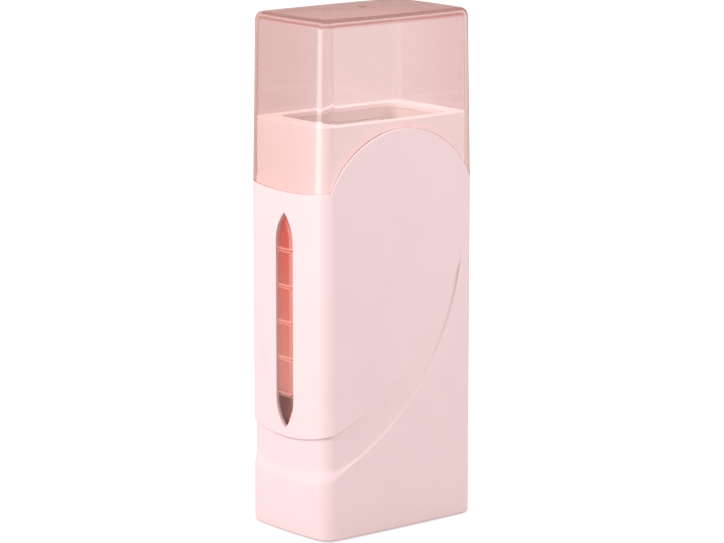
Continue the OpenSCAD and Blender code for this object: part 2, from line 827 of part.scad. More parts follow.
module cartridge_liner() {
    color([0.96, 0.72, 0.68]) {
        difference() {
            translate([0, well_mid_y, well_low_z]) linear_extrude(well_rim_z - well_low_z) {
                round_rect(well_w + 2 * well_wall, well_d + 2 * well_wall, well_corner_r + well_wall);
            }
            translate([0, well_mid_y, well_floor_z]) linear_extrude(far) {
                round_rect(well_w, well_d, well_corner_r);
            }
            block(
                [-plate_w / 2 - plate_window_gap, 0, plate_mid_z - plate_h / 2 - plate_window_gap],
                [plate_w / 2 + plate_window_gap, far, plate_mid_z + plate_h / 2 + plate_window_gap]
            );
        }
    }
}

module heater_plate() {
    color([0.8, 0.81, 0.83]) {
        difference() {
            union() {
                block(
                    [-plate_w / 2, well_rear_y, plate_mid_z - plate_h / 2],
                    [plate_w / 2, well_back_y, plate_mid_z + plate_h / 2]
                );
                block(
                    [-plate_w / 2 - plate_margin, well_back_y, plate_mid_z - plate_h / 2 - plate_margin],
                    [plate_w / 2 + plate_margin, plate_back_y, plate_mid_z + plate_h / 2 + plate_margin]
                );
            }
            for (s = [-1, 1]) {
                along_y(well_rear_y + 0.4, far) {
                    translate([0, ptc_z + s * clamp_screw_z]) circle(clamp_screw_r + fit_gap);
                }
            }
        }
    }
}

module ptc_element() {
    color([0.45, 0.42, 0.40]) {
        block([-ptc_w / 2, ptc_y, ptc_z - ptc_h / 2], [ptc_w / 2, electrode2_y, ptc_z + ptc_h / 2]);
    }
}

// Two brass sheets: the inner one's tab points up, the outer one's points down.
module ptc_electrodes() {
    color(brass) {
        block(
            [-ptc_w / 2, electrode_y, ptc_z - ptc_h / 2],
            [ptc_w / 2, ptc_y, ptc_z + ptc_h / 2]
        );
        block(
            [tab_x - tab_w / 2, electrode_y, ptc_z + ptc_h / 2 - eps],
            [tab_x + tab_w / 2, ptc_y, ptc_z + ptc_h / 2 + tab_l]
        );
        block(
            [-ptc_w / 2, electrode2_y, ptc_z - ptc_h / 2],
            [ptc_w / 2, film2_y, ptc_z + ptc_h / 2]
        );
        block(
            [tab_x - tab_w / 2, electrode2_y, ptc_z - ptc_h / 2 - tab_l],
            [tab_x + tab_w / 2, film2_y, ptc_z - ptc_h / 2 + eps]
        );
    }
}

module ptc_insulation() {
    color([0.85, 0.55, 0.2]) {
        for (y = [plate_back_y, film2_y]) {
            block(
                [-ptc_w / 2 - film_margin, y, ptc_z - ptc_h / 2 - film_margin],
                [ptc_w / 2 + film_margin, y + film_t, ptc_z + ptc_h / 2 + film_margin]
            );
        }
    }
}

module ptc_clamp() {
    leg_z = ptc_h / 2 + film_margin + clamp_side_gap;
    color(steel) {
        difference() {
            union() {
                block(
                    [-clamp_w / 2, clamp_y, ptc_z - leg_z - clamp_t],
                    [clamp_w / 2, clamp_y + clamp_t, ptc_z + leg_z + clamp_t]
                );
                for (s = [-1, 1]) {
                    along_x(-clamp_w / 2, clamp_w / 2) {
                        translate([plate_back_y, ptc_z + s * (leg_z + clamp_t / 2) - clamp_t / 2]) {
                            square([clamp_y + clamp_t - plate_back_y, clamp_t]);
                        }
                    }
                    along_x(-clamp_w / 2 + 2, clamp_w / 2 - 2) {
                        translate([plate_back_y, ptc_z + (s > 0 ? leg_z : -leg_z - clamp_foot_l)]) {
                            square([clamp_t, clamp_foot_l]);
                        }
                    }
                }
            }
            for (s = [-1, 1]) {
                along_y(0, far) translate([0, ptc_z + s * clamp_screw_z]) circle(clamp_screw_r + 0.15);
            }
        }
    }
}

module clamp_screws() {
    color(steel) {
        for (s = [-1, 1]) {
            translate([0, plate_back_y + clamp_t, ptc_z + s * clamp_screw_z]) {
                rotate([90, 0, 0]) cylinder(r = clamp_screw_r, h = plate_t + clamp_t + 0.6);
                difference() {
                    rotate([-90, 0, 0]) cylinder(r = clamp_head_r, h = clamp_head_h);
                    block([-clamp_head_r, clamp_head_h - 0.6, -0.3], [clamp_head_r, clamp_head_h + 1, 0.3]);
                }
            }
        }
    }
}

fuse_lead_l = 5;
module thermal_fuse() {
    color([0.75, 0.7, 0.6]) {
        translate([0, fuse_y, fuse_z]) rotate([0, 90, 0]) {
            cylinder(r = fuse_r, h = fuse_l, center = true);
            cylinder(r = lead_r, h = fuse_l + 2 * fuse_lead_l, center = true);
        }
    }
}

module fuse_sleeve() {
    color([0.9, 0.88, 0.8]) {
        translate([0, fuse_y, fuse_z]) rotate([0, 90, 0]) difference() {
            cylinder(r = fuse_r + fit_gap + sleeve_wall, h = sleeve_l, center = true);
            cylinder(r = fuse_r + fit_gap, h = sleeve_l + 1, center = true);
        }
    }
}

// ---------- terminal block ----------

way_screw_dz = 2;
module terminal_block() {
    color([0.93, 0.92, 0.88]) {
        difference() {
            block(
                [-block_x - block_w / 2, block_front_y, block_low_z],
                [-block_x + block_w / 2, block_back_y, block_top_z]
            );
            for (x = [live_x, neutral_x]) {
                translate([x, way_y, block_low_z - 1]) cylinder(r = way_r + fit_gap, h = block_h + 2);
                for (s = [-1, 1]) {
                    along_y(0, way_y) translate([x, block_z + s * way_screw_dz]) circle(way_screw_r + 0.4);
                }
            }
            along_y(0, far) translate([-block_x, block_z]) circle(block_screw_r + 0.15);
        }
    }
}

module terminal_sleeves() {
    color(brass) {
        for (x = [live_x, neutral_x]) {
            difference() {
                translate([x, way_y, block_low_z + 1]) cylinder(r = way_r, h = block_h - 2);
                translate([x, way_y, 0]) cylinder(r = way_bore_r, h = far);
                for (s = [-1, 1]) {
                    along_y(0, way_y) {
                        translate([x, block_z + s * way_screw_dz]) circle(way_screw_r + fit_gap);
                    }
                }
            }
        }
    }
}

module terminal_screws() {
    color(steel) {
        for (x = [live_x, neutral_x], s = [-1, 1]) {
            difference() {
                along_y(block_front_y + 0.6, way_y - 0.2) {
                    translate([x, block_z + s * way_screw_dz]) circle(way_screw_r);
                }
                block(
                    [x - 2, block_front_y, block_z + s * way_screw_dz - 0.2],
                    [x + 2, block_front_y + 1.2, block_z + s * way_screw_dz + 0.2]
                );
            }
        }
    }
}

block_head_r = 1.6;
block_head_h = 1.2;
module block_screw() {
    color(steel) {
        difference() {
            union() {
                along_y(block_front_y, in_d + 1) translate([-block_x, block_z]) circle(block_screw_r);
                along_y(block_front_y - block_head_h, block_front_y) {
                    translate([-block_x, block_z]) circle(block_head_r);
                }
            }
            block(
                [-block_x - block_head_r, 0, block_z - 0.25],
                [-block_x + block_head_r, block_front_y - block_head_h + 0.6, block_z + 0.25]
            );
        }
    }
}

// ---------- switch ----------

module switch_housing() {
    color([0.2, 0.2, 0.21]) {
        difference() {
            union() {
                block(
                    [switch_face_x, -bezel_w / 2, switch_z - bezel_h / 2],
                    [switch_front_x, bezel_w / 2, switch_z + bezel_h / 2]
                );
                block(
                    [switch_back_x, -switch_body_w / 2, switch_z - switch_body_h / 2],
                    [switch_face_x, switch_body_w / 2, switch_z + switch_body_h / 2]
                );
            }
            block(
                [rocker_room_x, -rocker_w / 2 - rocker_gap, switch_z - rocker_room_h / 2],
                [far, rocker_w / 2 + rocker_gap, switch_z + rocker_room_h / 2]
            );
            translate([rocker_x, 0, switch_z]) rotate([90, 0, 0]) {
                cylinder(
                    r = trunnion_r + fit_gap, h = rocker_w + 2 * trunnion_l + 2 * fit_gap, center = true
                );
            }
            for (s = [-1, 1]) {
                slot_z = switch_z + s * blade_pitch / 2;
                block(
                    [0, -blade_w / 2 - fit_gap, slot_z - blade_t / 2 - fit_gap],
                    [rocker_room_x, blade_w / 2 + fit_gap, slot_z + blade_t / 2 + fit_gap]
                );
            }
        }
    }
}

// The rocker's side view, about its pivot: x points out of the casing.
rocker_dish = 0.7;
rocker_stem = 2.4;
module rocker_shape() {
    polygon([
        [-rocker_stem, -2], [-0.4, -rocker_h / 2], [rocker_rise, -rocker_h / 2],
        [rocker_rise - rocker_dish, 0],
        [rocker_rise, rocker_h / 2], [-0.4, rocker_h / 2], [-rocker_stem, 2],
    ]);
}

module switch_rocker() {
    color([0.25, 0.25, 0.26]) {
        translate([rocker_x, 0, switch_z]) rotate([0, -rocker_tilt, 0]) {
            along_y(-rocker_w / 2, rocker_w / 2) rocker_shape();
            along_y(-rocker_w / 2 - trunnion_l, rocker_w / 2 + trunnion_l) circle(trunnion_r);
        }
    }
}

module switch_terminals() {
    color(brass) {
        for (s = [-1, 1]) {
            block(
                [blade_x, -blade_w / 2, switch_z + s * blade_pitch / 2 - blade_t / 2],
                [rocker_room_x, blade_w / 2, switch_z + s * blade_pitch / 2 + blade_t / 2]
            );
        }
    }
}

// ---------- mains inlet ----------

module inlet_housing() {
    color([0.15, 0.15, 0.16]) {
        difference() {
            union() {
                along_x(inlet_back_x, inlet_front_x) translate([0, inlet_z]) {
                    stadium(inlet_w + 2 * inlet_wall, inlet_h + 2 * inlet_wall);
                }
                along_x(inlet_flange_x - inlet_flange_t, inlet_flange_x) translate([0, inlet_z]) {
                    stadium(2 * inlet_half_w, 2 * inlet_half_h);
                }
            }
            along_x(inlet_floor_x, far) translate([0, inlet_z]) stadium(inlet_w, inlet_h);
            for (s = [-1, 1]) {
                along_x(0, far) translate([s * pin_pitch / 2, inlet_z]) circle(pin_r + fit_gap);
            }
        }
    }
}

module inlet_pins() {
    color(steel) {
        for (s = [-1, 1]) {
            along_x(pin_tail_x, pin_tip_x) translate([s * pin_pitch / 2, inlet_z]) circle(pin_r);
        }
    }
}

// Push-on connectors: round ones on the inlet's pins and flat ones on the switch's blades.
pin_connector_x = pin_tail_x - 1.2;
blade_connector_x = blade_x - 1.2;
module wire_connectors() {
    color([0.75, 0.72, 0.65]) {
        for (s = [-1, 1]) {
            difference() {
                along_x(pin_connector_x, inlet_back_x - 1) {
                    translate([s * pin_pitch / 2, inlet_z]) circle(pin_r + connector_wall);
                }
                along_x(pin_tail_x - fit_gap, inlet_back_x) {
                    translate([s * pin_pitch / 2, inlet_z]) circle(pin_r + fit_gap);
                }
            }
            z = switch_z + s * blade_pitch / 2;
            half_h = blade_t / 2 + connector_wall;
            difference() {
                block(
                    [blade_connector_x, -blade_w / 2 - connector_wall, z - half_h],
                    [switch_back_x - 1.2, blade_w / 2 + connector_wall, z + half_h]
                );
                block(
                    [blade_x - fit_gap, -blade_w / 2 - fit_gap, z - blade_t / 2 - fit_gap],
                    [switch_back_x, blade_w / 2 + fit_gap, z + blade_t / 2 + fit_gap]
                );
            }
        }
    }
}

// ---------- pilot lamp ----------

lens_skirt_l = 5;
module lamp_lens() {
    color([0.85, 0.2, 0.15, 0.8]) {
        difference() {
            union() {
                along_x(lamp_flange_x - lamp_flange_t, half_w - 0.3) translate([0, lamp_z]) circle(lens_r);
                along_x(lamp_flange_x - lens_skirt_l, lamp_flange_x) {
                    translate([0, lamp_z]) circle(lens_flange_r);
                }
            }
            along_x(0, lamp_flange_x - lamp_flange_t) translate([0, lamp_z]) circle(bulb_r + 0.1);
        }
    }
}

module neon_lamp() {
    color([0.95, 0.75, 0.6, 0.8]) {
        along_x(bulb_back_x, bulb_front_x) translate([0, lamp_z]) circle(bulb_r);
    }
}

resistor_x = half_w - 15.5;
resistor_y = switch_body_w / 2 + 1.6;
resistor_low_z = switch_z - 2;
resistor_l = 7;
resistor_r = 1.2;
module lamp_resistor() {
    color([0.75, 0.6, 0.45]) {
        translate([resistor_x, resistor_y, resistor_low_z]) cylinder(r = resistor_r, h = resistor_l);
    }
}

// ---------- fasteners and feet ----------

module case_screws() {
    color(steel) {
        for (p = screw_places) {
            difference() {
                union() {
                    along_y(-screw_reach, screw_seat_y) translate(p) circle(screw_r);
                    along_y(screw_seat_y, screw_seat_y + screw_head_h) translate(p) circle(screw_head_r);
                }
                for (turn = [0, 90]) {
                    translate([p.x, screw_seat_y + screw_head_h, p.y]) rotate([0, turn, 0]) {
                        block([-1.3, -0.9, -0.3], [1.3, 1, 0.3]);
                    }
                }
            }
        }
    }
}

module rubber_feet() {
    color(rubber_grey) foot_places() cylinder(r = foot_r, h = foot_t);
}

// ---------- wires ----------

// A smooth curve through the points of a route: it starts and ends straight along its first and last
// stretch.
wire_sides = 8;
function spline(a, b, c, d, t) = 0.5 * (2 * b + (c - a) * t
    + (2 * a - 5 * b + 4 * c - d) * t * t + (3 * b - a - 3 * c + d) * t * t * t);
function ends_added(p) = concat([2 * p[0] - p[1]], p, [2 * p[len(p) - 1] - p[len(p) - 2]]);
function steps(p, i, pitch) = max(1, ceil(norm(p[i + 1] - p[i]) / pitch));
function smooth(route, pitch) = let (p = ends_added(route)) concat(
    [for (i = [1:len(p) - 3], k = [0:steps(p, i, pitch) - 1])
        spline(p[i - 1], p[i], p[i + 1], p[i + 2], k / steps(p, i, pitch))],
    [p[len(p) - 2]]
);
function unit(v) = v / norm(v);
function heading(p, i) = unit(p[min(i + 1, len(p) - 1)] - p[max(i - 1, 0)]);

// The tube's side direction is carried from ring to ring, so that the tube doesn't twist.
function carried(side, dir) = unit(side - (side * dir) * dir);
function sides(p, i, side) = i >= len(p) ? []
    : let (s = carried(side, heading(p, i))) concat([s], sides(p, i + 1, s));
function tube_ring(centre, dir, side, r) = [
    for (k = [0:wire_sides - 1])
        let (a = 360 * k / wire_sides)
        centre + r * (cos(a) * side + sin(a) * cross(dir, side))
];
module tube(route, r) {
    p = smooth(route, 5 * r);
    first = abs(heading(p, 0).y) < 0.7 ? [0, 1, 0] : [1, 0, 0];
    side = sides(p, 0, first);
    skin([for (i = [0:len(p) - 1]) tube_ring(p[i], heading(p, i), side[i], r)]);
}

// Routes, as points chosen by hand between the pieces that the wires join.
live_pin = [pin_connector_x, -pin_pitch / 2, inlet_z];
neutral_pin = [pin_connector_x, pin_pitch / 2, inlet_z];
low_blade = [blade_connector_x, 0, switch_z - blade_pitch / 2];
high_blade = [blade_connector_x, 0, switch_z + blade_pitch / 2];
live_low = [live_x, way_y, block_low_z + way_entry];
live_high = [live_x, way_y, block_top_z - way_entry];
neutral_low = [neutral_x, way_y, block_low_z + way_entry];
neutral_high = [neutral_x, way_y, block_top_z - way_entry];
fuse_left = [-fuse_l / 2 - fuse_lead_l, fuse_y, fuse_z];
fuse_right = [fuse_l / 2 + fuse_lead_l, fuse_y, fuse_z];
low_tab = [tab_x, electrode2_y + electrode_t / 2, ptc_z - ptc_h / 2 - tab_l];
high_tab = [tab_x, plate_back_y + fit_gap + wire_r, ptc_z + ptc_h / 2 + tab_l];

module supply_wire_live() {
    color([0.55, 0.3, 0.2]) tube([
        live_pin, live_pin + [-2, 0, 0], live_pin + [-5.3, -0.2, 4.5],
        low_blade + [-5.8, -3.5, -6.5], low_blade + [-6.3, -1, -2], low_blade + [-2.5, 0, 0], low_blade,
    ], wire_r);
}

module supply_wire_neutral() {
    color([0.25, 0.4, 0.7]) tube([
        neutral_pin, neutral_pin + [-2, 0, 0], neutral_pin + [-5.3, 3.7, 5],
        neutral_low + [6, -3.6, -9], neutral_low + [1.5, -0.6, -8], neutral_low + [0, 0, -5], neutral_low,
    ], wire_r);
}

module switched_wire() {
    color([0.55, 0.3, 0.2]) tube([
        high_blade, high_blade + [-2.5, 0, 0], high_blade + [-9.3, 1.5, -3.5],
        live_low + [5, -11.1, -3.5], live_low + [1.5, -5.1, -8], live_low + [0, 0, -6],
        live_low + [0, 0, -3.5], live_low,
    ], wire_r);
}

module heater_wire_live() {
    color([0.9, 0.88, 0.84]) tube([
        live_high, live_high + [0, 0, 4], live_high + [-1, 1.5, 8.5], fuse_left + [-0.5, 0, -20],
        fuse_left + [-4.5, 0, -13], fuse_left + [-5, 0, -6], fuse_left + [-2, 0, 0], fuse_left,
    ], wire_r);
}

module fuse_wire() {
    color([0.9, 0.88, 0.84]) tube([
        fuse_right, fuse_right + [2, 0, 0], fuse_right + [3.7, 0.15, 4.5], low_tab + [0, 0, -2], low_tab,
    ], wire_r);
}

module heater_wire_neutral() {
    color([0.9, 0.88, 0.84]) tube([
        neutral_high, neutral_high + [0, 0, 4], neutral_high + [4, 1.9, 9.5],
        neutral_high + [10, 3.1, 15.5], high_tab + [6, 1, -52], high_tab + [6.6, 1, -37],
        high_tab + [6.6, 1, -17], high_tab + [6, 0.9, -2], high_tab + [3, 0.6, 3.5],
        high_tab + [0, 0, 2.6], high_tab,
    ], wire_r);
}

module lamp_wires() {
    bulb_end = [bulb_back_x, 0, lamp_z];
    apart = [0, 0.9, 0];
    resistor_foot = [resistor_x, resistor_y, resistor_low_z];
    resistor_top = resistor_foot + [0, 0, resistor_l];
    blade_seat = high_blade + [2.2, 0, blade_t / 2 + connector_wall];
    pin_seat = neutral_pin + [1.7, 0, pin_r + connector_wall];
    color([0.7, 0.7, 0.72]) {
        tube([
            bulb_end - apart, bulb_end - apart + [-1.5, 0, 0], bulb_end + [-4.7, -0.8, -3.6],
            blade_seat + [0.5, -0.3, 2.9], blade_seat,
        ], lead_r);
        tube([
            bulb_end + apart, bulb_end + apart + [-1.5, 0, 0], resistor_top + [0.9, -1.7, 5.5],
            resistor_top + [0, 0, 2], resistor_top,
        ], lead_r);
        tube([
            resistor_foot, resistor_foot + [0, 0, -2], resistor_foot + [-0.1, -0.3, -7],
            pin_seat + [0, 0.5, 3.1], pin_seat,
        ], lead_r);
    }
}

front_shell();
rear_shell();
lid();
window_lens();
cartridge_liner();
heater_plate();
ptc_element();
ptc_electrodes();
ptc_insulation();
ptc_clamp();
clamp_screws();
thermal_fuse();
fuse_sleeve();
terminal_block();
terminal_sleeves();
terminal_screws();
block_screw();
switch_housing();
switch_rocker();
switch_terminals();
inlet_housing();
inlet_pins();
wire_connectors();
lamp_lens();
neon_lamp();
lamp_resistor();
case_screws();
rubber_feet();
supply_wire_live();
supply_wire_neutral();
switched_wire();
heater_wire_live();
fuse_wire();
heater_wire_neutral();
lamp_wires();
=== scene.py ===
import math

import bmesh
import bpy
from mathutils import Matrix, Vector


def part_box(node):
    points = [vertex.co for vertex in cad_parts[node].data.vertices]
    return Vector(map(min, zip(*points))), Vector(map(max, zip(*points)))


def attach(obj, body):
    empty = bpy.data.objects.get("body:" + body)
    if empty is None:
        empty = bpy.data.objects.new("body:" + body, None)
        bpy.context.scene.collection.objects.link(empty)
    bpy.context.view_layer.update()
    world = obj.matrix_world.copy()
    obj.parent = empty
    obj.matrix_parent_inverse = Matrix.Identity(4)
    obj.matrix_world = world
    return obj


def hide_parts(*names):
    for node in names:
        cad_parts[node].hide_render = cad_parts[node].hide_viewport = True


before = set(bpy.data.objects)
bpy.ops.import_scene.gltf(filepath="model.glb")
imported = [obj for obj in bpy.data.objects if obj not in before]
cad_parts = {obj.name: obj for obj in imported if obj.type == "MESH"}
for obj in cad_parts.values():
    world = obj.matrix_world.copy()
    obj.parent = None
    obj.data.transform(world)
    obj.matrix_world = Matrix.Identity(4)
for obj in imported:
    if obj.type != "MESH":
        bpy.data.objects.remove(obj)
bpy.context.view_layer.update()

bl_info = {
    "name": "Wax heater",
    "version": (1, 0, 0),
    "blender": (4, 5, 0),
    "location": "View3D > Sidebar > Wax heater",
    "description": "Dresses a roll-on wax heater: casing, transparent lid, heater and wiring",
    "category": "Object",
}

MM = 0.001
FRONT, REAR = -1, 1


# ---------- settings ----------


def length(name, description, millimetres):
    """A length property whose default is given in millimetres."""
    return bpy.props.FloatProperty(
        name=name, description=description, default=millimetres * MM, unit="LENGTH", precision=5
    )


def angle(name, description, degrees):
    """An angle property whose default is given in degrees."""
    return bpy.props.FloatProperty(
        name=name, description=description, default=math.radians(degrees), unit="ROTATION"
    )


def linear(code):
    """An sRGB hex colour as linear red, green and blue."""
    levels = [int(code[i:i + 2], 16) / 255 for i in (1, 3, 5)]
    return [v / 12.92 if v <= 0.04045 else ((v + 0.055) / 1.055) ** 2.4 for v in levels]


def colour(name, description, code):
    """A colour property whose default is given as sRGB hex."""
    return bpy.props.FloatVectorProperty(
        name=name, description=description, default=linear(code), subtype="COLOR", min=0, max=1
    )


class ViewSettings(bpy.types.PropertyGroup):
    """Where the photograph's camera stood, and what the object stands on."""

    distance: length("Distance", "Camera's level distance from the middle of the footprint", 1189.5)
    height: length("Height", "Camera's height above the surface", 327.16)
    azimuth: angle("Azimuth", "Turn of the camera towards the window side", 39.468)
    pitch: angle("Pitch", "Tilt of the camera below the horizon", 11.184)
    focal_length: bpy.props.FloatProperty(
        name="Focal length", description="On a 36 mm wide sensor", default=165.75, unit="CAMERA"
    )
    floor_radius: length("Floor radius", "Radius of the floor", 6000)
    floor_colour: colour("Floor colour", "Colour of the floor", "#b6b4b4")


class CasingSettings(bpy.types.PropertyGroup):
    """Sizes of the two half shells."""

    corner_radius: length("Corner radius", "Radius of the upright corners", 5)
    wide_crown: length("Wide crown", "Swell of the wide faces in the middle", 0.5)
    narrow_crown: length("Narrow crown", "Swell of the narrow faces in the middle", 0.8)
    wall: length("Wall", "Thickness of the walls and the floor", 2)
    base_edge: length("Base edge", "Radius of the edge round the base", 0.8)
    line_height: length("Lid line", "Height of the lid line at the corners", 126.5)
    line_dip: length("Lid line dip", "Dip of the lid line on the narrow sides", 1.3)
    arch_height: length("Arch", "Rise of the arch above the lid line", 20.6)
    arch_foot: length("Arch foot", "Distance from the arch's foot to the casing's side", 3.5)
    shoulder_edge: length("Shoulder edge", "Radius of the edge along the lid line", 0.12)
    collar_inset: length("Collar inset", "Step from the casing's face to the collar", 2.4)
    collar_wall: length("Collar wall", "Thickness of the collar", 1.6)
    rim_edge: length("Rim edge", "Radius of the edge round the collar's rim", 0.45)
    deck: length("Deck", "Thickness of the deck round the well's mouth", 1.6)
    mouth_margin: length("Mouth margin", "Margin of the deck's mouth round the well", 0.3)
    mouth_radius: length("Mouth radius", "Radius of the mouth's corners", 4.3)
    well_wall: length("Well wall", "Thickness of the well's walls", 1.2)
    band_depth: length("Band depth", "Depth of the band that sweeps round the window side", 0.8)
    band_top: length("Band top", "Height of the band's upper edge at the corners", 38)
    band_low: length("Band bottom", "Height of the band's lower edge at the corners", 23.3)
    band_top_dip: length("Band top dip", "Dip of the upper edge on the window side", 2.1)
    band_low_dip: length("Band bottom dip", "Dip of the lower edge on the window side", 0.8)
    band_tip_side: length("Band tip", "Distance from the band's tip to the casing's side", 8)
    band_tip_height: length("Band tip height", "Height at which the band runs out", 98)
    band_top_radius: length("Band top radius", "Radius of the band's upper edge", 91.5)
    band_low_radius: length("Band bottom radius", "Radius of the band's lower edge", 91)
    band_edge: length("Band upper edge", "Width of the soft step along the upper edge", 0.5)
    band_low_edge: length("Band lower edge", "Width of the soft step along the lower edge", 1)
    band_side_edge: length("Band side edge", "Width of the lower step on the window side", 6)
    seam: length("Seam", "Depth of the groove where the half shells meet", 0.12)
    lip: length("Lip", "Radius of the edges round the openings", 0.25)


class LidSettings(bpy.types.PropertyGroup):
    """Sizes of the lift-off lid."""

    height: length("Height", "Height of the lid's top above the lid line", 62.4)
    wall: length("Wall", "Thickness of the lid's walls", 1.6)
    top: length("Top", "Thickness of the lid's top", 1.8)
    draft: angle("Draft", "Draft of the lid's walls", 1.1)
    edge_radius: length("Edge radius", "Radius of the edge round the lid's top", 3.2)
    crown: length("Crown", "Rise of the top from its edge to its middle", 1)
    gap: length("Gap", "Gap between the lid's lower edge and the shoulder", 0.12)
    gate_radius: length("Gate radius", "Radius of the moulding gate's mark", 1.6)
    gate_height: length("Gate height", "Height of the gate's mark", 0.25)
    rim_edge: length("Rim edge", "Radius of the lid's lower edges", 0.3)


class WindowSettings(bpy.types.PropertyGroup):
    """Sizes of the level window's slot."""

    low: length("Lower tip", "Height of the slot's lower tip", 39.1)
    top: length("Upper tip", "Height of the slot's upper tip", 117.8)
    width: length("Width", "Width of the slot", 9.6)
    tip_radius: length("Tip radius", "Radius of the arcs that point the ends", 15)
    recess: length("Recess", "Step from the casing's side back to the lens's face", 0.3)
    clearance: length("Clearance", "Gap between the lens and the slot's side", 0.3)
    flange: length("Flange", "Margin of the lens's flange behind the slot", 1.2)
    flange_thickness: length("Flange thickness", "Thickness of the lens's flange", 0.9)
    edge_width: length("Lens edge width", "Width of the rounded edge round the lens's face", 3.2)
    edge_drop: length("Lens edge drop", "How far the lens's rounded edge falls back", 0.8)
    mark_low: length("First mark", "Height of the lowest level mark", 51.4)
    mark_step: length("Mark step", "Distance from one level mark to the next", 13.2)
    mark_height: length("Mark height", "Height of a level mark", 1)
    mark_rise: length("Mark rise", "How far the level marks stand out", 0.25)
    mark_inset: length("Mark inset", "Distance from a mark's end to the slot's side", 0.8)


class ColourSettings(bpy.types.PropertyGroup):
    """Colours of the mouldings."""

    casing: colour("Casing", "Pale pink ABS", "#f5d8d9")
    lid: colour("Lid", "Tint of a wall of the transparent lid", "#fbf2ee")
    lid_far: colour("Lid, far walls", "Tint of the walls seen through the near ones", "#eed0d1")
    window: colour("Window", "Tint of the level window", "#feada0")
    liner: colour("Liner", "Translucent well", "#edd0cb")


class HeaterSettings(bpy.types.PropertyGroup):
    """Everything that the panel shows."""

    view: bpy.props.PointerProperty(type=ViewSettings)
    casing: bpy.props.PointerProperty(type=CasingSettings)
    lid: bpy.props.PointerProperty(type=LidSettings)
    window: bpy.props.PointerProperty(type=WindowSettings)
    colours: bpy.props.PointerProperty(type=ColourSettings)


# ---------- places that the frame gives ----------

HALF_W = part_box("front_shell")[1].x
HALF_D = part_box("rear_shell")[1].y
BASE_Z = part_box("front_shell")[0].z
RIM_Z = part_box("front_shell")[1].z
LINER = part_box("cartridge_liner")
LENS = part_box("window_lens")
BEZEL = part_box("switch_housing")
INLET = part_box("inlet_housing")
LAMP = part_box("lamp_lens")
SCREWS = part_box("case_screws")
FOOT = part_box("rubber_feet")


# ---------- mesh helpers ----------


def between(a, b, count):
    """Evenly spaced values from a to b, both ends included."""
    return [a + (b - a) * i / (count - 1) for i in range(count)]


def mix(a, b, t):
    """The value that lies at share t of the way from a to b."""
    return a + (b - a) * t


def ease(t):
    """From 0 to 1 with a soft start and a soft end."""
    t = min(1, max(0, t))
    return t * t * (3 - 2 * t)


def new_object(name, bm):
    """Puts a finished mesh into the scene, with its faces turned outwards."""
    bmesh.ops.recalc_face_normals(bm, faces=bm.faces)
    mesh = bpy.data.meshes.new(name)
    bm.to_mesh(mesh)
    bm.free()
    thing = bpy.data.objects.new(name, mesh)
    bpy.context.scene.collection.objects.link(thing)
    return thing


def loft(bm, rings):
    """A closed solid through rings of equally many points, with flat ends."""
    made = [[bm.verts.new(p) for p in ring] for ring in rings]
    count = len(made[0])
    for low, high in zip(made, made[1:]):
        for i in range(count):
            j = (i + 1) % count
            bm.faces.new((low[i], low[j], high[j], high[i]))
    bm.faces.new(made[0])
    bm.faces.new(made[-1])


def box(bm, low, high):
    """A closed block between two corners."""
    x0, y0, z0 = low
    x1, y1, z1 = high
    corners = [(x0, y0), (x1, y0), (x1, y1), (x0, y1)]
    loft(bm, [[(x, y, z) for x, y in corners] for z in (z0, z1)])


CIRCLE_STEPS = 48


def circle(radius):
    """Points round a circle."""
    turns = [2 * math.pi * i / CIRCLE_STEPS for i in range(CIRCLE_STEPS)]
    return [(radius * math.cos(t), radius * math.sin(t)) for t in turns]


SHARP_EDGE = 35


def smooth_with_edges(thing):
    """Smooth shading, with a hard edge where faces meet at more than SHARP_EDGE degrees."""
    for face in thing.data.polygons:
        face.use_smooth = True
    thing.data.set_sharp_from_angle(angle=math.radians(SHARP_EDGE))
    weighted = thing.modifiers.new("Even shading", "WEIGHTED_NORMAL")
    weighted.keep_sharp = True


def apply_modifiers(thing):
    """Turns the modified mesh into the thing's own mesh."""
    shown = thing.evaluated_get(bpy.context.evaluated_depsgraph_get())
    mesh = bpy.data.meshes.new_from_object(shown)
    thing.modifiers.clear()
    thing.data = mesh


def combine(thing, other, operation):
    """Adds or cuts another solid, which is used up."""
    joint = thing.modifiers.new(operation.title(), "BOOLEAN")
    joint.operation = operation
    joint.solver = "EXACT"
    joint.object = other
    joint.use_self = operation != "DIFFERENCE"
    apply_modifiers(thing)
    bpy.data.objects.remove(other)


# ---------- the casing's outline ----------


def corner_curve(start, end, start_lean, end_lean, radius, steps):
    """A soft corner from a narrow face to a wide face. It leaves each face along its lean."""
    turn = math.pi / 2 - start_lean - end_lean
    reach = 4 / 3 * math.tan(turn / 4) * radius
    first = start + reach * Vector((-math.sin(start_lean), math.cos(start_lean)))
    second = end + reach * Vector((math.cos(end_lean), -math.sin(end_lean)))
    points = []
    for t in between(0, 1, steps):
        a, b, c, d = (1 - t) ** 3, 3 * t * (1 - t) ** 2, 3 * t * t * (1 - t), t ** 3
        points.append(a * start + b * first + c * second + d * end)
    return points


def corner_start(casing):
    """Where an upright corner starts: its X on the wide face and its Y on the narrow face."""
    return (
        HALF_W - casing.narrow_crown - casing.corner_radius,
        HALF_D - casing.wide_crown - casing.corner_radius,
    )


def both_sides(quarter, side):
    """A quarter outline and its mirror image, from the window side to the switch side, on one side
    of the parting plane."""
    left = [Vector((-p.x, side * p.y)) for p in quarter]
    right = [Vector((p.x, side * p.y)) for p in reversed(quarter[:-1])]
    return left + right


CORNER_STEPS = 12
NARROW_STEP = 1.5 * MM
WIDE_STEP = 0.8 * MM
# Half the seam's groove, and the outline's points across that, as multiples of its depth.
SEAM_SPREAD = 2.4
SEAM_POINTS = 0, 1, 2.5


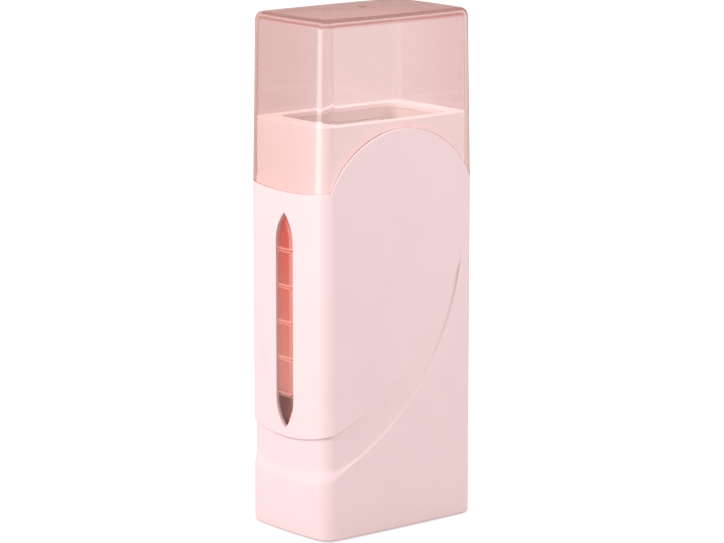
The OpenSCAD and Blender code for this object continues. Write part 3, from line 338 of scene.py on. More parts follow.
def quarter_outline(casing, inset):
    """The casing's outline, drawn in by inset, from the middle of a narrow face to the middle of a
    wide face. X and Y are both positive."""
    corner_x, corner_y = corner_start(casing)
    points = []
    narrow = [casing.seam * k for k in SEAM_POINTS]
    narrow += between(NARROW_STEP, corner_y, int(corner_y / NARROW_STEP))
    for y in narrow:
        points.append(Vector((HALF_W - inset - casing.narrow_crown * (y / corner_y) ** 2, y)))
    start = points.pop()
    wide = between(corner_x, 0, int(corner_x / WIDE_STEP))
    end = Vector((corner_x, HALF_D - inset - casing.wide_crown))
    points += corner_curve(
        start, end, math.atan(2 * casing.narrow_crown / corner_y),
        math.atan(2 * casing.wide_crown / corner_x), casing.corner_radius - inset, CORNER_STEPS,
    )
    for x in wide[1:]:
        points.append(Vector((x, HALF_D - inset - casing.wide_crown * (x / corner_x) ** 2)))
    return points


def half_outline(casing, inset, side):
    """The outline on one side of the parting plane, from the window side to the switch side."""
    return both_sides(quarter_outline(casing, inset), side)


def full_outline(casing, inset):
    """The whole outline, once round."""
    front = half_outline(casing, inset, FRONT)
    rear = half_outline(casing, inset, REAR)
    return front + list(reversed(rear))[1:-1]


def mouth_outline(casing, side):
    """The edge of the well's mouth, with one point for each point of half_outline."""
    margin = casing.mouth_margin - casing.well_wall
    x_side = LINER[1].x + margin
    y_side = abs((LINER[0] if side == FRONT else LINER[1]).y) + margin
    corner_x, corner_y = corner_start(casing)
    radius = casing.mouth_radius
    points = []
    for p in quarter_outline(casing, 0):
        if p.y < corner_y:
            points.append(Vector((x_side, p.y / corner_y * (y_side - radius))))
        elif p.x > corner_x:
            turn = math.atan2(p.y - corner_y, p.x - corner_x)
            points.append(Vector((
                x_side - radius + radius * math.cos(turn), y_side - radius + radius * math.sin(turn)
            )))
        else:
            points.append(Vector((p.x / corner_x * (x_side - radius), y_side)))
    return both_sides(points, side)


def rounded(inset):
    """An inset as a key: those less than a tenth of a micrometre apart share one outline."""
    return round(inset, 7)


def rings_for(columns, outline_at):
    """The outlines that columns of (inset, height) need, by rounded inset."""
    insets = {rounded(inset) for column in columns for inset, _ in column}
    return {inset: outline_at(inset) for inset in insets}


# ---------- lid line and band ----------


def swell_radius(half, rise):
    """Radius of the circle that rises by rise over half a chord."""
    return (half * half + rise * rise) / (2 * rise)


def line_height(casing, p):
    """Height of the lid line at a place on the outline."""
    half = HALF_W - casing.arch_foot
    radius = swell_radius(half, casing.arch_height)
    if abs(p.x) < half:
        return casing.line_height + casing.arch_height - radius + math.sqrt(radius ** 2 - p.x ** 2)
    dip_half = HALF_D - casing.collar_inset - casing.collar_wall
    dip = casing.line_dip * max(0, 1 - (p.y / dip_half) ** 2)
    return casing.line_height - dip


def arc_centre(x1, z1, x2, z2, radius):
    """Centre of an arc through two points, on their upper left side."""
    chord = math.hypot(x2 - x1, z2 - z1)
    rise = math.sqrt(radius ** 2 - chord ** 2 / 4)
    return (x1 + x2) / 2 + (z1 - z2) * rise / chord, (z1 + z2) / 2 + (x2 - x1) * rise / chord


def edge_height(casing, p, height, dip, radius):
    """Height and slope of one of the band's edges at a place on the outline."""
    tip_x = HALF_W - casing.band_tip_side
    cx, cz = arc_centre(-HALF_W, height, tip_x, casing.band_tip_height, radius)
    split = -HALF_W + casing.corner_radius
    x = min(max(p.x, split), tip_x)
    z = cz - math.sqrt(radius ** 2 - (x - cx) ** 2)
    slope = (x - cx) / (cz - z)
    if p.x >= split:
        return z, slope if p.x < tip_x else 0
    drop = z - height + dip
    return z - drop * (1 - (p.y / HALF_D) ** 2), 2 * drop * p.y / HALF_D ** 2


TIP_GAP = 3 * MM  # least distance that is kept between the band's edges, where it has run out
TIP_WIDTH = 1.2 * MM  # width over which the band gains its depth from its tip
STEP_SHARE = 0.45  # largest share of the band that one of its soft steps may take
CORNER_BLEND = 2.4  # length over which the lower step narrows, in corner radii


def band_rows(casing, p):
    """The band at a place on the outline: where its two edges start and end, and its depth."""
    low, low_slope = edge_height(
        casing, p, casing.band_low, casing.band_low_dip, casing.band_low_radius
    )
    top, top_slope = edge_height(
        casing, p, casing.band_top, casing.band_top_dip, casing.band_top_radius
    )
    room = top - low
    round_corner = ease((p.x + HALF_W) / (CORNER_BLEND * casing.corner_radius))
    low_edge = mix(casing.band_side_edge, casing.band_low_edge, round_corner)
    widest = STEP_SHARE * max(room, TIP_GAP)
    low_half = min(low_edge * math.hypot(1, low_slope), widest) / 2
    top_half = min(casing.band_edge * math.hypot(1, top_slope), widest) / 2
    width = room / math.hypot(1, top_slope)
    depth = casing.band_depth * ease(width / TIP_WIDTH)
    middle = (low + top) / 2
    low = min(low, middle - TIP_GAP / 2)
    top = max(top, middle + TIP_GAP / 2)
    return low - low_half, low + low_half, top - top_half, top + top_half, depth


# ---------- half shells ----------

# Rows round a small edge, round the base's and the rim's edges, and across each step of the band.
EDGE_STEPS, ROUND_STEPS, BAND_STEPS = 4, 5, 7
# Rows up the plain stretches: below the band, in it, above it and up the collar.
BELOW_BAND, IN_BAND, ABOVE_BAND, ON_COLLAR = 8, 5, 32, 4


def quarter_turn(steps):
    """Pairs that go from (0, 0) to (1, 1) round a quarter circle: across, then along."""
    return [(1 - math.cos(a), math.sin(a)) for a in between(0, math.pi / 2, steps)]


def outer_rows(casing, p):
    """(inset, height) of the casing's outer skin above a place on the outline, base to rim."""
    line = line_height(casing, p)
    low_start, low_end, top_start, top_end, depth = band_rows(casing, p)
    groove = 0
    if abs(p.x) > HALF_D:  # a narrow side
        groove = casing.seam * max(0, 1 - abs(p.y) / (SEAM_SPREAD * casing.seam))
    base, edge, rim = casing.base_edge, casing.shoulder_edge, casing.rim_edge
    rows = [
        (base * (1 - along), BASE_Z + base * across) for across, along in quarter_turn(ROUND_STEPS)
    ]
    rows += [(0, z) for z in between(BASE_Z + base, low_start, BELOW_BAND)[1:-1]]
    rows += [(depth * ease(t), mix(low_start, low_end, t)) for t in between(0, 1, BAND_STEPS)]
    rows += [(depth, z) for z in between(low_end, top_start, IN_BAND)[1:-1]]
    rows += [(depth * ease(1 - t), mix(top_start, top_end, t)) for t in between(0, 1, BAND_STEPS)]
    rows += [(0, z) for z in between(top_end, line - edge, ABOVE_BAND)[1:-1]]
    rows += [(edge * a, line - edge + edge * b) for a, b in quarter_turn(EDGE_STEPS)]
    foot = casing.collar_inset - edge
    rows += [(foot, line)]
    rows += [(foot + edge * b, line + edge * a) for a, b in quarter_turn(EDGE_STEPS)[1:]]
    rows += [
        (casing.collar_inset, z) for z in between(line + edge, RIM_Z - rim, ON_COLLAR)[1:-1]
    ]
    rows += [
        (casing.collar_inset + rim * a, RIM_Z - rim + rim * b) for a, b in quarter_turn(ROUND_STEPS)
    ]
    return [(inset + groove, z) for inset, z in rows]


def inner_rows(casing, p):
    """(inset, height) of the casing's inner skin above a place on the outline, deck to floor."""
    line = line_height(casing, p)
    inside = casing.collar_inset + casing.collar_wall
    under = line - casing.wall
    return [
        (inside, RIM_Z - casing.deck), (inside, under), (casing.wall, under),
        (casing.wall, BASE_Z + casing.wall),
    ]


MIDDLE_REACH = 30 * MM  # half the line in the parting plane, along which the sections close


def shell_sections(casing, side):
    """Closed sections through a half shell: base, outer skin, deck, mouth, inner skin, floor."""
    outline = half_outline(casing, 0, side)
    mouth = mouth_outline(casing, side)
    count = len(outline)
    outer = [outer_rows(casing, p) for p in outline]
    inner = [inner_rows(casing, p) for p in outline]
    rings = rings_for(outer + inner, lambda inset: half_outline(casing, inset, side))
    sections = []
    lip = casing.lip
    for k in range(count):
        middle = mix(-MIDDLE_REACH, MIDDLE_REACH, k / (count - 1))
        section = [(middle, 0, BASE_Z)]
        for inset, z in outer[k]:
            p = rings[rounded(inset)][k]
            section.append((p.x, p.y, z))
        m = mouth[k]
        away = (outline[k] - m).normalized()
        for across, along in quarter_turn(EDGE_STEPS):
            p = m + away * lip * (1 - along)
            section.append((p.x, p.y, RIM_Z - lip * across))
        section.append((m.x, m.y, RIM_Z - casing.deck))
        for inset, z in inner[k]:
            p = rings[rounded(inset)][k]
            section.append((p.x, p.y, z))
        section.append((middle, 0, BASE_Z + casing.wall))
        sections.append(section)
    for k in (0, count - 1):
        sections[k] = [(x, 0, z) for x, _, z in sections[k]]
    return sections


TIP_STEPS, SLOT_STEPS, ROUND_CORNER_STEPS = 14, 16, 6


def slot_outline(window, grow):
    """The level window's pointed slot as (y, z), grown by grow."""
    radius = window.tip_radius + grow
    side = window.tip_radius - window.width / 2
    reach = math.sqrt(window.tip_radius ** 2 - side ** 2)
    sweep = math.acos(side / radius)
    points = []
    turns = between(0, sweep, TIP_STEPS)
    for z, turn in ((window.low + reach, -1), (window.top - reach, 1)):
        arc = [(radius * math.cos(a) - side, radius * math.sin(a)) for a in turns]
        if turn < 0:
            points += [(-y, z - h) for y, h in arc]
            points += [(y, z - h) for y, h in reversed(arc[:-1])]
        else:
            points += [(y, z + h) for y, h in arc]
            points += [(-y, z + h) for y, h in reversed(arc[:-1])]
    return points


def stadium(width, height):
    """A level slot with round ends, as (y, z)."""
    points = []
    for s in (1, -1):
        for a in between(-math.pi / 2, math.pi / 2, SLOT_STEPS):
            points.append((
                s * ((width - height) / 2 + height / 2 * math.cos(a)), s * height / 2 * math.sin(a)
            ))
    return points


def round_rect(width, height, radius):
    """A rectangle with round corners, as (y, z)."""
    points = []
    for k, (sx, sy) in enumerate(((1, 1), (-1, 1), (-1, -1), (1, -1))):
        for a in between(0, math.pi / 2, ROUND_CORNER_STEPS):
            turn = a + k * math.pi / 2
            points.append((
                sx * (width / 2 - radius) + radius * math.cos(turn),
                sy * (height / 2 - radius) + radius * math.sin(turn),
            ))
    return points


# ---------- openings, pockets and what holds the inner parts ----------

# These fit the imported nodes, which keep their places.
FIT = 0.05 * MM  # gap round a part in its hole
OUTSIDE = 2 * MM  # how far a cutter stands out of the face that it cuts
INLET_WIDTH, INLET_HEIGHT = 17.4 * MM, 11 * MM
LAMP_RADIUS = 2 * MM
SWITCH_MARGIN = 1.2 * MM  # from the switch's bezel to the side of its recess
SWITCH_RECESS = 3 * MM
SWITCH_HOLE = 4.95 * MM, 7.45 * MM  # half its width and half its height
SWITCH_HOLE_START = 20 * MM
FOOT_RADIUS, FOOT_POCKET = 3.5 * MM, 1.5 * MM
SCREW_HEAD = 2.25 * MM
LOWER_SCREW_X = 12 * MM
SCREW_CORE, SCREW_CLEARANCE, HEAD_CLEARANCE = 1.25 * MM, 1.4 * MM, 2.35 * MM  # radii of holes
CORE_END, CLEARANCE_END, HEAD_SEAT = -9 * MM, 8.5 * MM, 8 * MM  # places along Y
BOSS_RADIUS = 3.3 * MM
RIB = 1.6 * MM
RIB_LOW, RIB_HIGH = 56.3 * MM, 116.5 * MM
SIDE_RIB_Y, FRONT_RIB_X = 14 * MM, 15 * MM
PLATE_RIB_INSET = 0.8 * MM
POST_X, POST_START = 20 * MM, 10 * MM
TOUCH = 0.1 * MM  # gap between a rib and the part that it holds
BITE = 0.5 * MM  # how far a rib goes into the wall that carries it
PAD_HALF, PAD_START, PAD_END = (8.8 * MM, 11 * MM), 31 * MM, 34.5 * MM  # behind the switch


def centre_z(node_box):
    """Height of the middle of a node."""
    return (node_box[0].z + node_box[1].z) / 2


SWITCH_Z = centre_z(BEZEL)


def lipped(shape, face, inside, lip):
    """Rings of a cutter that goes from inside out through a face, and flares over its lip there."""
    towards = 1 if inside < face else -1
    rings = [(FIT, inside)]
    rings += [(FIT + lip * a, face - towards * lip * (1 - b)) for a, b in quarter_turn(EDGE_STEPS)]
    rings += [(FIT + lip, face + towards * OUTSIDE)]
    return [(shape(grow), at) for grow, at in rings]


def cut_along_x(bm, rings):
    """A solid through (shape, x) rings."""
    loft(bm, [[(x, y, z) for y, z in shape] for shape, x in rings])


def raised(shape, height):
    """A shape of (y, z), moved up."""
    return [(y, z + height) for y, z in shape]


def openings(settings):
    """One mesh of everything that is cut out of the narrow sides from outside."""
    casing, window = settings.casing, settings.window
    inner_x = HALF_W - casing.wall - MM
    recess_w = BEZEL[1].y - BEZEL[0].y + 2 * SWITCH_MARGIN
    recess_h = BEZEL[1].z - BEZEL[0].z + 2 * SWITCH_MARGIN

    def inlet(grow):
        return raised(stadium(INLET_WIDTH + 2 * grow, INLET_HEIGHT + 2 * grow), centre_z(INLET))

    def lamp(grow):
        return raised(circle(LAMP_RADIUS + grow), centre_z(LAMP))

    def switch(grow):
        return raised(round_rect(recess_w + 2 * grow, recess_h + 2 * grow, MM + grow), SWITCH_Z)

    bm = bmesh.new()
    for shape, face, inside in (
        (lambda grow: slot_outline(window, grow), -HALF_W, -inner_x),
        (inlet, HALF_W, inner_x), (lamp, HALF_W, inner_x), (switch, HALF_W, HALF_W - SWITCH_RECESS),
    ):
        cut_along_x(bm, lipped(shape, face, inside, casing.lip))
    return bm


def switch_hole():
    """The hole behind the switch's bezel."""
    bm = bmesh.new()
    half_w, half_h = SWITCH_HOLE
    box(bm, (SWITCH_HOLE_START, -half_w, SWITCH_Z - half_h), (HALF_W, half_w, SWITCH_Z + half_h))
    return bm


def screw_places():
    """Where the casing screws go, as (x, z)."""
    upper_x, upper_z = SCREWS[1].x - SCREW_HEAD, SCREWS[1].z - SCREW_HEAD
    lower_z = SCREWS[0].z + SCREW_HEAD
    places = (upper_x, upper_z), (LOWER_SCREW_X, lower_z)
    return [(sx * x, z) for sx in (-1, 1) for x, z in places]


def bore(bm, radius, y0, y1):
    """A round bar along Y at each of the casing screws."""
    for x, z in screw_places():
        loft(bm, [[(x + dx, y, z + dz) for dx, dz in circle(radius)] for y in (y0, y1)])


def pockets(casing, side):
    """Foot pockets and screw holes."""
    bm = bmesh.new()
    for sx in (-1, 1):
        x = sx * (FOOT[1].x - FOOT_RADIUS)
        y = side * (FOOT[1].y - FOOT_RADIUS)
        round_foot = circle(FOOT_RADIUS + FIT)
        loft(bm, [[(x + dx, y + dy, z) for dx, dy in round_foot] for z in (-MM, FOOT_POCKET)])
    if side == FRONT:
        bore(bm, SCREW_CORE, CORE_END, FIT)
        return bm
    bore(bm, SCREW_CLEARANCE, -FIT, CLEARANCE_END)
    for x, z in screw_places():
        face = HALF_D - casing.wide_crown * (x / corner_start(casing)[0]) ** 2
        rings = lipped(lambda grow: circle(HEAD_CLEARANCE + grow), face, HEAD_SEAT, casing.lip)
        loft(bm, [[(x + dx, y, z + dz) for dx, dz in shape] for shape, y in rings])
    return bm


def inner_room(casing):
    """The casing's inside and half of its walls."""
    bm = bmesh.new()
    outline = full_outline(casing, casing.wall / 2)
    loft(bm, [[(*p, z) for p in outline] for z in (BASE_Z + casing.wall / 2, casing.line_height)])
    return bm


def inner_structure(casing, side):
    """Screw bosses, the posts and ribs that hold the well, and the pad behind the switch."""
    bm = bmesh.new()
    wall_y = side * (HALF_D - casing.wall + BITE)
    wall_x = HALF_W - casing.wall + BITE
    floor_z = BASE_Z + casing.wall - BITE
    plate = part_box("heater_plate")[1]
    bore(bm, BOSS_RADIUS, *sorted((0, wall_y)))
    for sx in (-1, 1):
        x0, x1 = sorted((sx * (LINER[1].x + TOUCH), sx * wall_x))
        y = side * SIDE_RIB_Y
        box(bm, (x0, y - RIB / 2, RIB_LOW), (x1, y + RIB / 2, RIB_HIGH))
        y0, y1 = sorted((side * POST_START, wall_y))
        x = sx * POST_X
        box(bm, (x - RIB / 2, y0, floor_z), (x + RIB / 2, y1, LINER[0].z))
        if side == FRONT:
            x, y0, y1 = sx * FRONT_RIB_X, wall_y, LINER[0].y - TOUCH
        else:
            x, y0, y1 = sx * (plate.x - PLATE_RIB_INSET), plate.y + TOUCH, wall_y
        box(bm, (x - RIB / 2, y0, RIB_LOW), (x + RIB / 2, y1, RIB_HIGH))
    pad_y, pad_z = PAD_HALF
    low, high = sorted((0, side * pad_y))
    box(bm, (PAD_START, low, SWITCH_Z - pad_z), (PAD_END, high, SWITCH_Z + pad_z))
    return bm


# ---------- materials ----------


def rgba(colour):
    """A colour as a socket takes it."""
    return (*colour[:3], 1)


def add(owner, kind, inputs=(), stops=(), **fields):
    """Adds a node to a material or a world. Inputs are its sockets, as values or as other nodes'
    outputs. Stops are a colour ramp's (place, level or colour) pairs. Fields are its settings."""
    tree = owner.node_tree
    node = tree.nodes.new(kind)
    for field, value in fields.items():
        setattr(node, field, value)
    for socket, value in dict(inputs).items():
        if isinstance(value, bpy.types.NodeSocket):
            tree.links.new(value, node.inputs[socket])
        elif value is not None:
            node.inputs[socket].default_value = value
    if stops:
        elements = node.color_ramp.elements
        elements.remove(elements[1])
        elements[0].position = stops[0][0]
        for place, _ in stops[1:]:
            elements.new(place)
        for element, (_, level) in zip(elements, stops):
            element.color = rgba(level if isinstance(level, tuple) else [level] * 3)
    return node


def new_material(name):
    """A material without nodes."""
    material = bpy.data.materials.new(name)
    material.use_nodes = True
    material.node_tree.nodes.clear()
    return material


def shade(colour, factor):
    """A colour made darker or lighter."""
    return [min(1, c * factor) for c in colour[:3]]


def through(tint, walls):
    """The tint of light that has gone through that many walls."""
    return [c ** walls for c in tint[:3]]


def grain(material, size, detail=2):
    """Noise in the object's own space, whose lumps are about size across, from 0 to 1."""
    place = add(material, "ShaderNodeTexCoord")
    return add(material, "ShaderNodeTexNoise", {
        "Vector": place.outputs["Object"], "Scale": 1 / size, "Detail": detail, "Roughness": 0.5,
    }).outputs["Fac"]


def mottled(material, colour, size, darkest, lightest):
    """A colour that wanders between two shades of itself, in patches about size across."""
    return add(material, "ShaderNodeMix", {
        "Factor": grain(material, size), "A": rgba(shade(colour, darkest)),
        "B": rgba(shade(colour, lightest)),
    }, data_type="RGBA").outputs["Result"]


def rise(material, low, high, below=0, above=1):
    """A signal that goes from below to above between two heights."""
    place = add(material, "ShaderNodeTexCoord")
    axes = add(material, "ShaderNodeSeparateXYZ", {0: place.outputs["Object"]})
    return add(material, "ShaderNodeMapRange", {
        "Value": axes.outputs["Z"], "From Min": low, "From Max": high,
        "To Min": below, "To Max": above,
    }).outputs["Result"]


FLOW = 18 * MM  # size of the patches that the flow of the melt leaves
FLOW_DEPTH = 0.03
GRIT = 0.35 * MM  # real grain is near 0.05 mm; it is drawn several times coarser, so that it shows
GRIT_HEIGHT = 0.2  # as a share of its size
GLOSS_SPREAD = 0.15
PLASTIC_IOR = 1.52


def opaque(name, colour, roughness, metallic=0, bump=0.05):
    """A moulded, cast or rolled solid: faint patches in its colour, and a fine grain in its gloss
    and its surface."""
    material = new_material(name)
    grit = grain(material, GRIT, detail=3)
    gloss = add(material, "ShaderNodeMapRange", {
        "Value": grit, "To Min": roughness * (1 - GLOSS_SPREAD),
        "To Max": roughness * (1 + GLOSS_SPREAD),
    })
    relief = add(material, "ShaderNodeBump", {
        "Height": grit, "Strength": bump, "Distance": GRIT * GRIT_HEIGHT,
    })
    surface = add(material, "ShaderNodeBsdfPrincipled", {
        "Base Color": mottled(material, colour, FLOW, 1 - FLOW_DEPTH, 1 + FLOW_DEPTH),
        "Roughness": gloss.outputs["Result"], "Normal": relief.outputs["Normal"],
        "Metallic": metallic, "IOR": None if metallic else PLASTIC_IOR,
    })
    add(material, "ShaderNodeOutputMaterial", {"Surface": surface.outputs["BSDF"]})
    return material


# How far a wall turns edge on, from 0 where it faces the eye to 1, and its share of the deep tint.
EDGE_ON = (0.2, 0), (0.28, 0.04), (0.37, 0.4), (0.45, 0.5), (0.52, 0.85), (0.7, 1)
# Bounces after which light is through the near wall, has turned back inside a wall, and is caught
# there.
THROUGH_NEAR, TURNED_BACK, CAUGHT = 1.5, 0.5, 2.5
WAVES, WAVE_HEIGHT, WAVE_STRENGTH = 9 * MM, 0.3 * MM, 0.05  # what the polished mould leaves
CLOUD_ROUGHNESS = 0.3
# The pale matt lines that paint the level marks' highlights: roughness, share of the surface and
# tint in walls.
LINE_ROUGHNESS, LINE_SHARE, LINE_WALLS = 0.5, 0.5, 0.6


def clear_plastic(name, tint, roughness, ior, haze, shadow_walls, far=None, deepest=1,
                  deepening_heights=None, lines=None):
    """A transparent moulding. Its near wall has the tint. Its far walls have the tint far, and so
    has light that turns back inside a wall. Either deepens to that of so many walls where a wall
    turns edge on, or upwards between two heights, with no thicker wall there. Haze is the share
    that scatters, or what rise takes. Shadow and diffuse rays go straight through, with the tint of
    shadow_walls, and so does caught light."""
    material = new_material(name)
    far = far or tint
    ripple = add(material, "ShaderNodeBump", {
        "Height": grain(material, WAVES), "Strength": WAVE_STRENGTH, "Distance": WAVE_HEIGHT,
    })
    # Between two heights the tint deepens upwards; the wall is no thicker there.
    if deepening_heights:
        depth = rise(material, *deepening_heights)
    else:
        turned = add(material, "ShaderNodeLayerWeight", {"Blend": 0.5})
        depth = add(
            material, "ShaderNodeValToRGB", {"Fac": turned.outputs["Facing"]}, EDGE_ON
        ).outputs["Color"]
    rays = add(material, "ShaderNodeLightPath")
    beyond, turned_back, caught = [
        add(material, "ShaderNodeMath", {
            0: rays.outputs[bounces], 1: limit,
        }, operation="GREATER_THAN").outputs[0]
        for bounces, limit in (
            ("Transmission Depth", THROUGH_NEAR), ("Glossy Depth", TURNED_BACK),
            ("Glossy Depth", CAUGHT),
        )
    ]
    long_way = add(
        material, "ShaderNodeMath", {0: beyond, 1: turned_back}, operation="MAXIMUM"
    ).outputs[0]
    flat, deep = [
        add(material, "ShaderNodeMix", {
            "Factor": long_way, "A": rgba(through(tint, walls)), "B": rgba(through(far, walls)),
        }, data_type="RGBA").outputs["Result"]
        for walls in (1, deepest)
    ]
    body = add(material, "ShaderNodeMix", {
        "Factor": depth, "A": flat, "B": deep,
    }, data_type="RGBA").outputs["Result"]
    glass = add(material, "ShaderNodeBsdfPrincipled", {
        "Base Color": body, "Roughness": roughness, "IOR": ior, "Transmission Weight": 1,
        "Normal": ripple.outputs["Normal"],
    })
    cloud = add(material, "ShaderNodeBsdfPrincipled", {
        "Base Color": body, "Roughness": CLOUD_ROUGHNESS, "IOR": ior,
    })
    seen = add(material, "ShaderNodeMixShader", {
        0: rise(material, *haze) if isinstance(haze, tuple) else haze,
        1: glass.outputs["BSDF"], 2: cloud.outputs["BSDF"],
    })
    # Painted highlights: pale matt lines mixed in along the marks' rims.
    if lines:
        matt = add(material, "ShaderNodeBsdfPrincipled", {
            "Base Color": rgba(through(tint, LINE_WALLS)), "Roughness": LINE_ROUGHNESS, "IOR": ior,
        })
        share = add(material, "ShaderNodeMath", {
            0: painted_mark_highlights(material, *lines), 1: LINE_SHARE,
        }, operation="MULTIPLY")
        seen = add(material, "ShaderNodeMixShader", {
            0: share.outputs[0], 1: seen.outputs[0], 2: matt.outputs["BSDF"],
        })
    let_out = add(material, "ShaderNodeMix", {
        "Factor": caught, "A": rgba(through(tint, shadow_walls)), "B": rgba(far),
    }, data_type="RGBA")
    straight = add(material, "ShaderNodeBsdfTransparent", {"Color": let_out.outputs["Result"]})
    passing = caught
    for ray in ("Is Shadow Ray", "Is Diffuse Ray"):
        passing = add(
            material, "ShaderNodeMath", {0: passing, 1: rays.outputs[ray]}, operation="MAXIMUM"
        ).outputs[0]
    way = add(material, "ShaderNodeMixShader", {
        0: passing, 1: seen.outputs[0], 2: straight.outputs[0],
    })
    add(material, "ShaderNodeOutputMaterial", {"Surface": way.outputs[0]})
    return material


LINE_FADE = 0.3, 0.7  # where a painted highlight line starts and stops fading, as shares of its width


def painted_mark_highlights(material, low, step, height, width):
    """1 on the rims of the level marks: pairs of level lines, where a pale matt line paints each
    rim's highlight.
    """
    place = add(material, "ShaderNodeTexCoord")
    axes = add(material, "ShaderNodeSeparateXYZ", {0: place.outputs["Object"]})
    value = axes.outputs["Z"]
    for operation, operand in (
        ("SUBTRACT", low), ("DIVIDE", step), ("ADD", 0.5), ("FRACT", None), ("SUBTRACT", 0.5),
        ("ABSOLUTE", None), ("MULTIPLY", step), ("SUBTRACT", height / 2), ("ABSOLUTE", None),
    ):
        value = add(
            material, "ShaderNodeMath", {0: value, 1: operand}, operation=operation
        ).outputs[0]
    start, end = LINE_FADE
    return add(material, "ShaderNodeMapRange", {
        "Value": value, "From Min": width * start, "From Max": width * end,
        "To Min": 1, "To Max": 0,
    }).outputs["Result"]


MILK_PATCHES, MILK_SHADES = 7 * MM, (0.96, 1.04)
MILK_ROUGHNESS, MILK_IOR = 0.35, 1.49
SOAKED_THROUGH = 0.08  # share of the light that comes out on the far side


def milky_plastic(name, colour):
    """A thin moulding that light soaks through, so that its far side glows a little."""
    material = new_material(name)
    base = mottled(material, colour, MILK_PATCHES, *MILK_SHADES)
    skin = add(material, "ShaderNodeBsdfPrincipled", {
        "Base Color": base, "Roughness": MILK_ROUGHNESS, "IOR": MILK_IOR,
    })
    glow = add(material, "ShaderNodeBsdfTranslucent", {"Color": base})
    both = add(material, "ShaderNodeMixShader", {
        0: SOAKED_THROUGH, 1: skin.outputs["BSDF"], 2: glow.outputs["BSDF"],
    })
    add(material, "ShaderNodeOutputMaterial", {"Surface": both.outputs[0]})
    return material


def finish(thing, material):
    """Gives a piece its only material."""
    thing.data.materials.clear()
    thing.data.materials.append(material)


WELD_DISTANCE = 0.002 * MM
EDGE = 0.12 * MM
BEVEL_ANGLE = 50


def dress(node, material, edge=EDGE):
    """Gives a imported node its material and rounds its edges."""
    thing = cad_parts[node]
    for slot in thing.material_slots:
        slot.material = material
    if not thing.material_slots:
        thing.data.materials.append(material)
    for face in thing.data.polygons:
        face.use_smooth = True
    weld = thing.modifiers.new("Weld", "WELD")
    weld.merge_threshold = WELD_DISTANCE
    if edge:
        bevel = thing.modifiers.new("Edges", "BEVEL")
        bevel.width = edge
        bevel.segments = 2
        bevel.limit_method = "ANGLE"
        bevel.angle_limit = math.radians(BEVEL_ANGLE)
        bevel.harden_normals = False
    even = thing.modifiers.new("Even shading", "WEIGHTED_NORMAL")
    even.keep_sharp = True


# ---------- stage ----------

# Each lamp's name, its place in metres, its width and height in metres, and its power in watts.
LAMPS = (
    ("Key", (-1.0, 0.1, 0.85), 0.6, 0.9, 13),
    ("Fill", (0.5, -0.95, 0.9), 0.8, 0.8, 8),
    ("Rear", (0.5, 1.1, 1.0), 0.8, 0.8, 6),
)
LAMP_TARGET = Vector((0, 0, 0.12))

# What the plastics mirror of the floor, and what shows of it through them, as (place, level) pairs.
# A place is a share of a full turn round the object, from -X by -Y. The levels stand for a softbox
# at -X, a pale wall between -Y and +X, and a dim blush from +X to +Y.
BLUSH = 0.46, 0.3, 0.28
PALE = 0.8, 0.66, 0.64
MIRRORED = (
    (0.0, 4), (0.02, 1), (0.05, 0.5), (0.14, 0.6), (0.3, 1.5), (0.36, 1.8), (0.42, 1.5), (0.5, 0.5),
    (0.55, BLUSH), (0.72, BLUSH), (0.8, 0.2), (0.87, 0.15), (0.89, 0.3), (0.905, 4), (1.0, 4),
)
BEHIND = (
    (0.0, 0.9), (0.46, 0.9), (0.5, PALE), (0.57, PALE), (0.59, 1), (0.69, 1), (0.71, PALE),
    (0.78, PALE), (0.82, 0.9), (1.0, 0.9),
)
# Close to the object the floor shows one level all round, which gives way to those above here.
NEAR_FLOOR = 0.15, 0.6
NEAR_MIRRORED = 0.85, 0.65, 0.61
NEAR_BEHIND = 0.95, 0.9, 0.89
FLOOR_LIFT = 0.7  # what the camera sees of the floor beyond the light on it
FLOOR_SPECK, FLOOR_SHADES, FLOOR_STEPS = 4 * MM, (0.99, 1), 96
SENSOR_WIDTH = 36  # in millimetres, as the focal length
NEAREST, FURTHEST = 0.05, 50  # what the camera sees, in metres
# The world: its light on the matt pieces, and what the plastics mirror of it and let through of it.
WORLD_LIGHT = 0.6, 0.6, 0.6
WORLD_GLOSS = 0.55, 0.4, 0.38
WORLD_THROUGH = 0.92, 0.74, 0.71
WHITE = 1, 1, 1


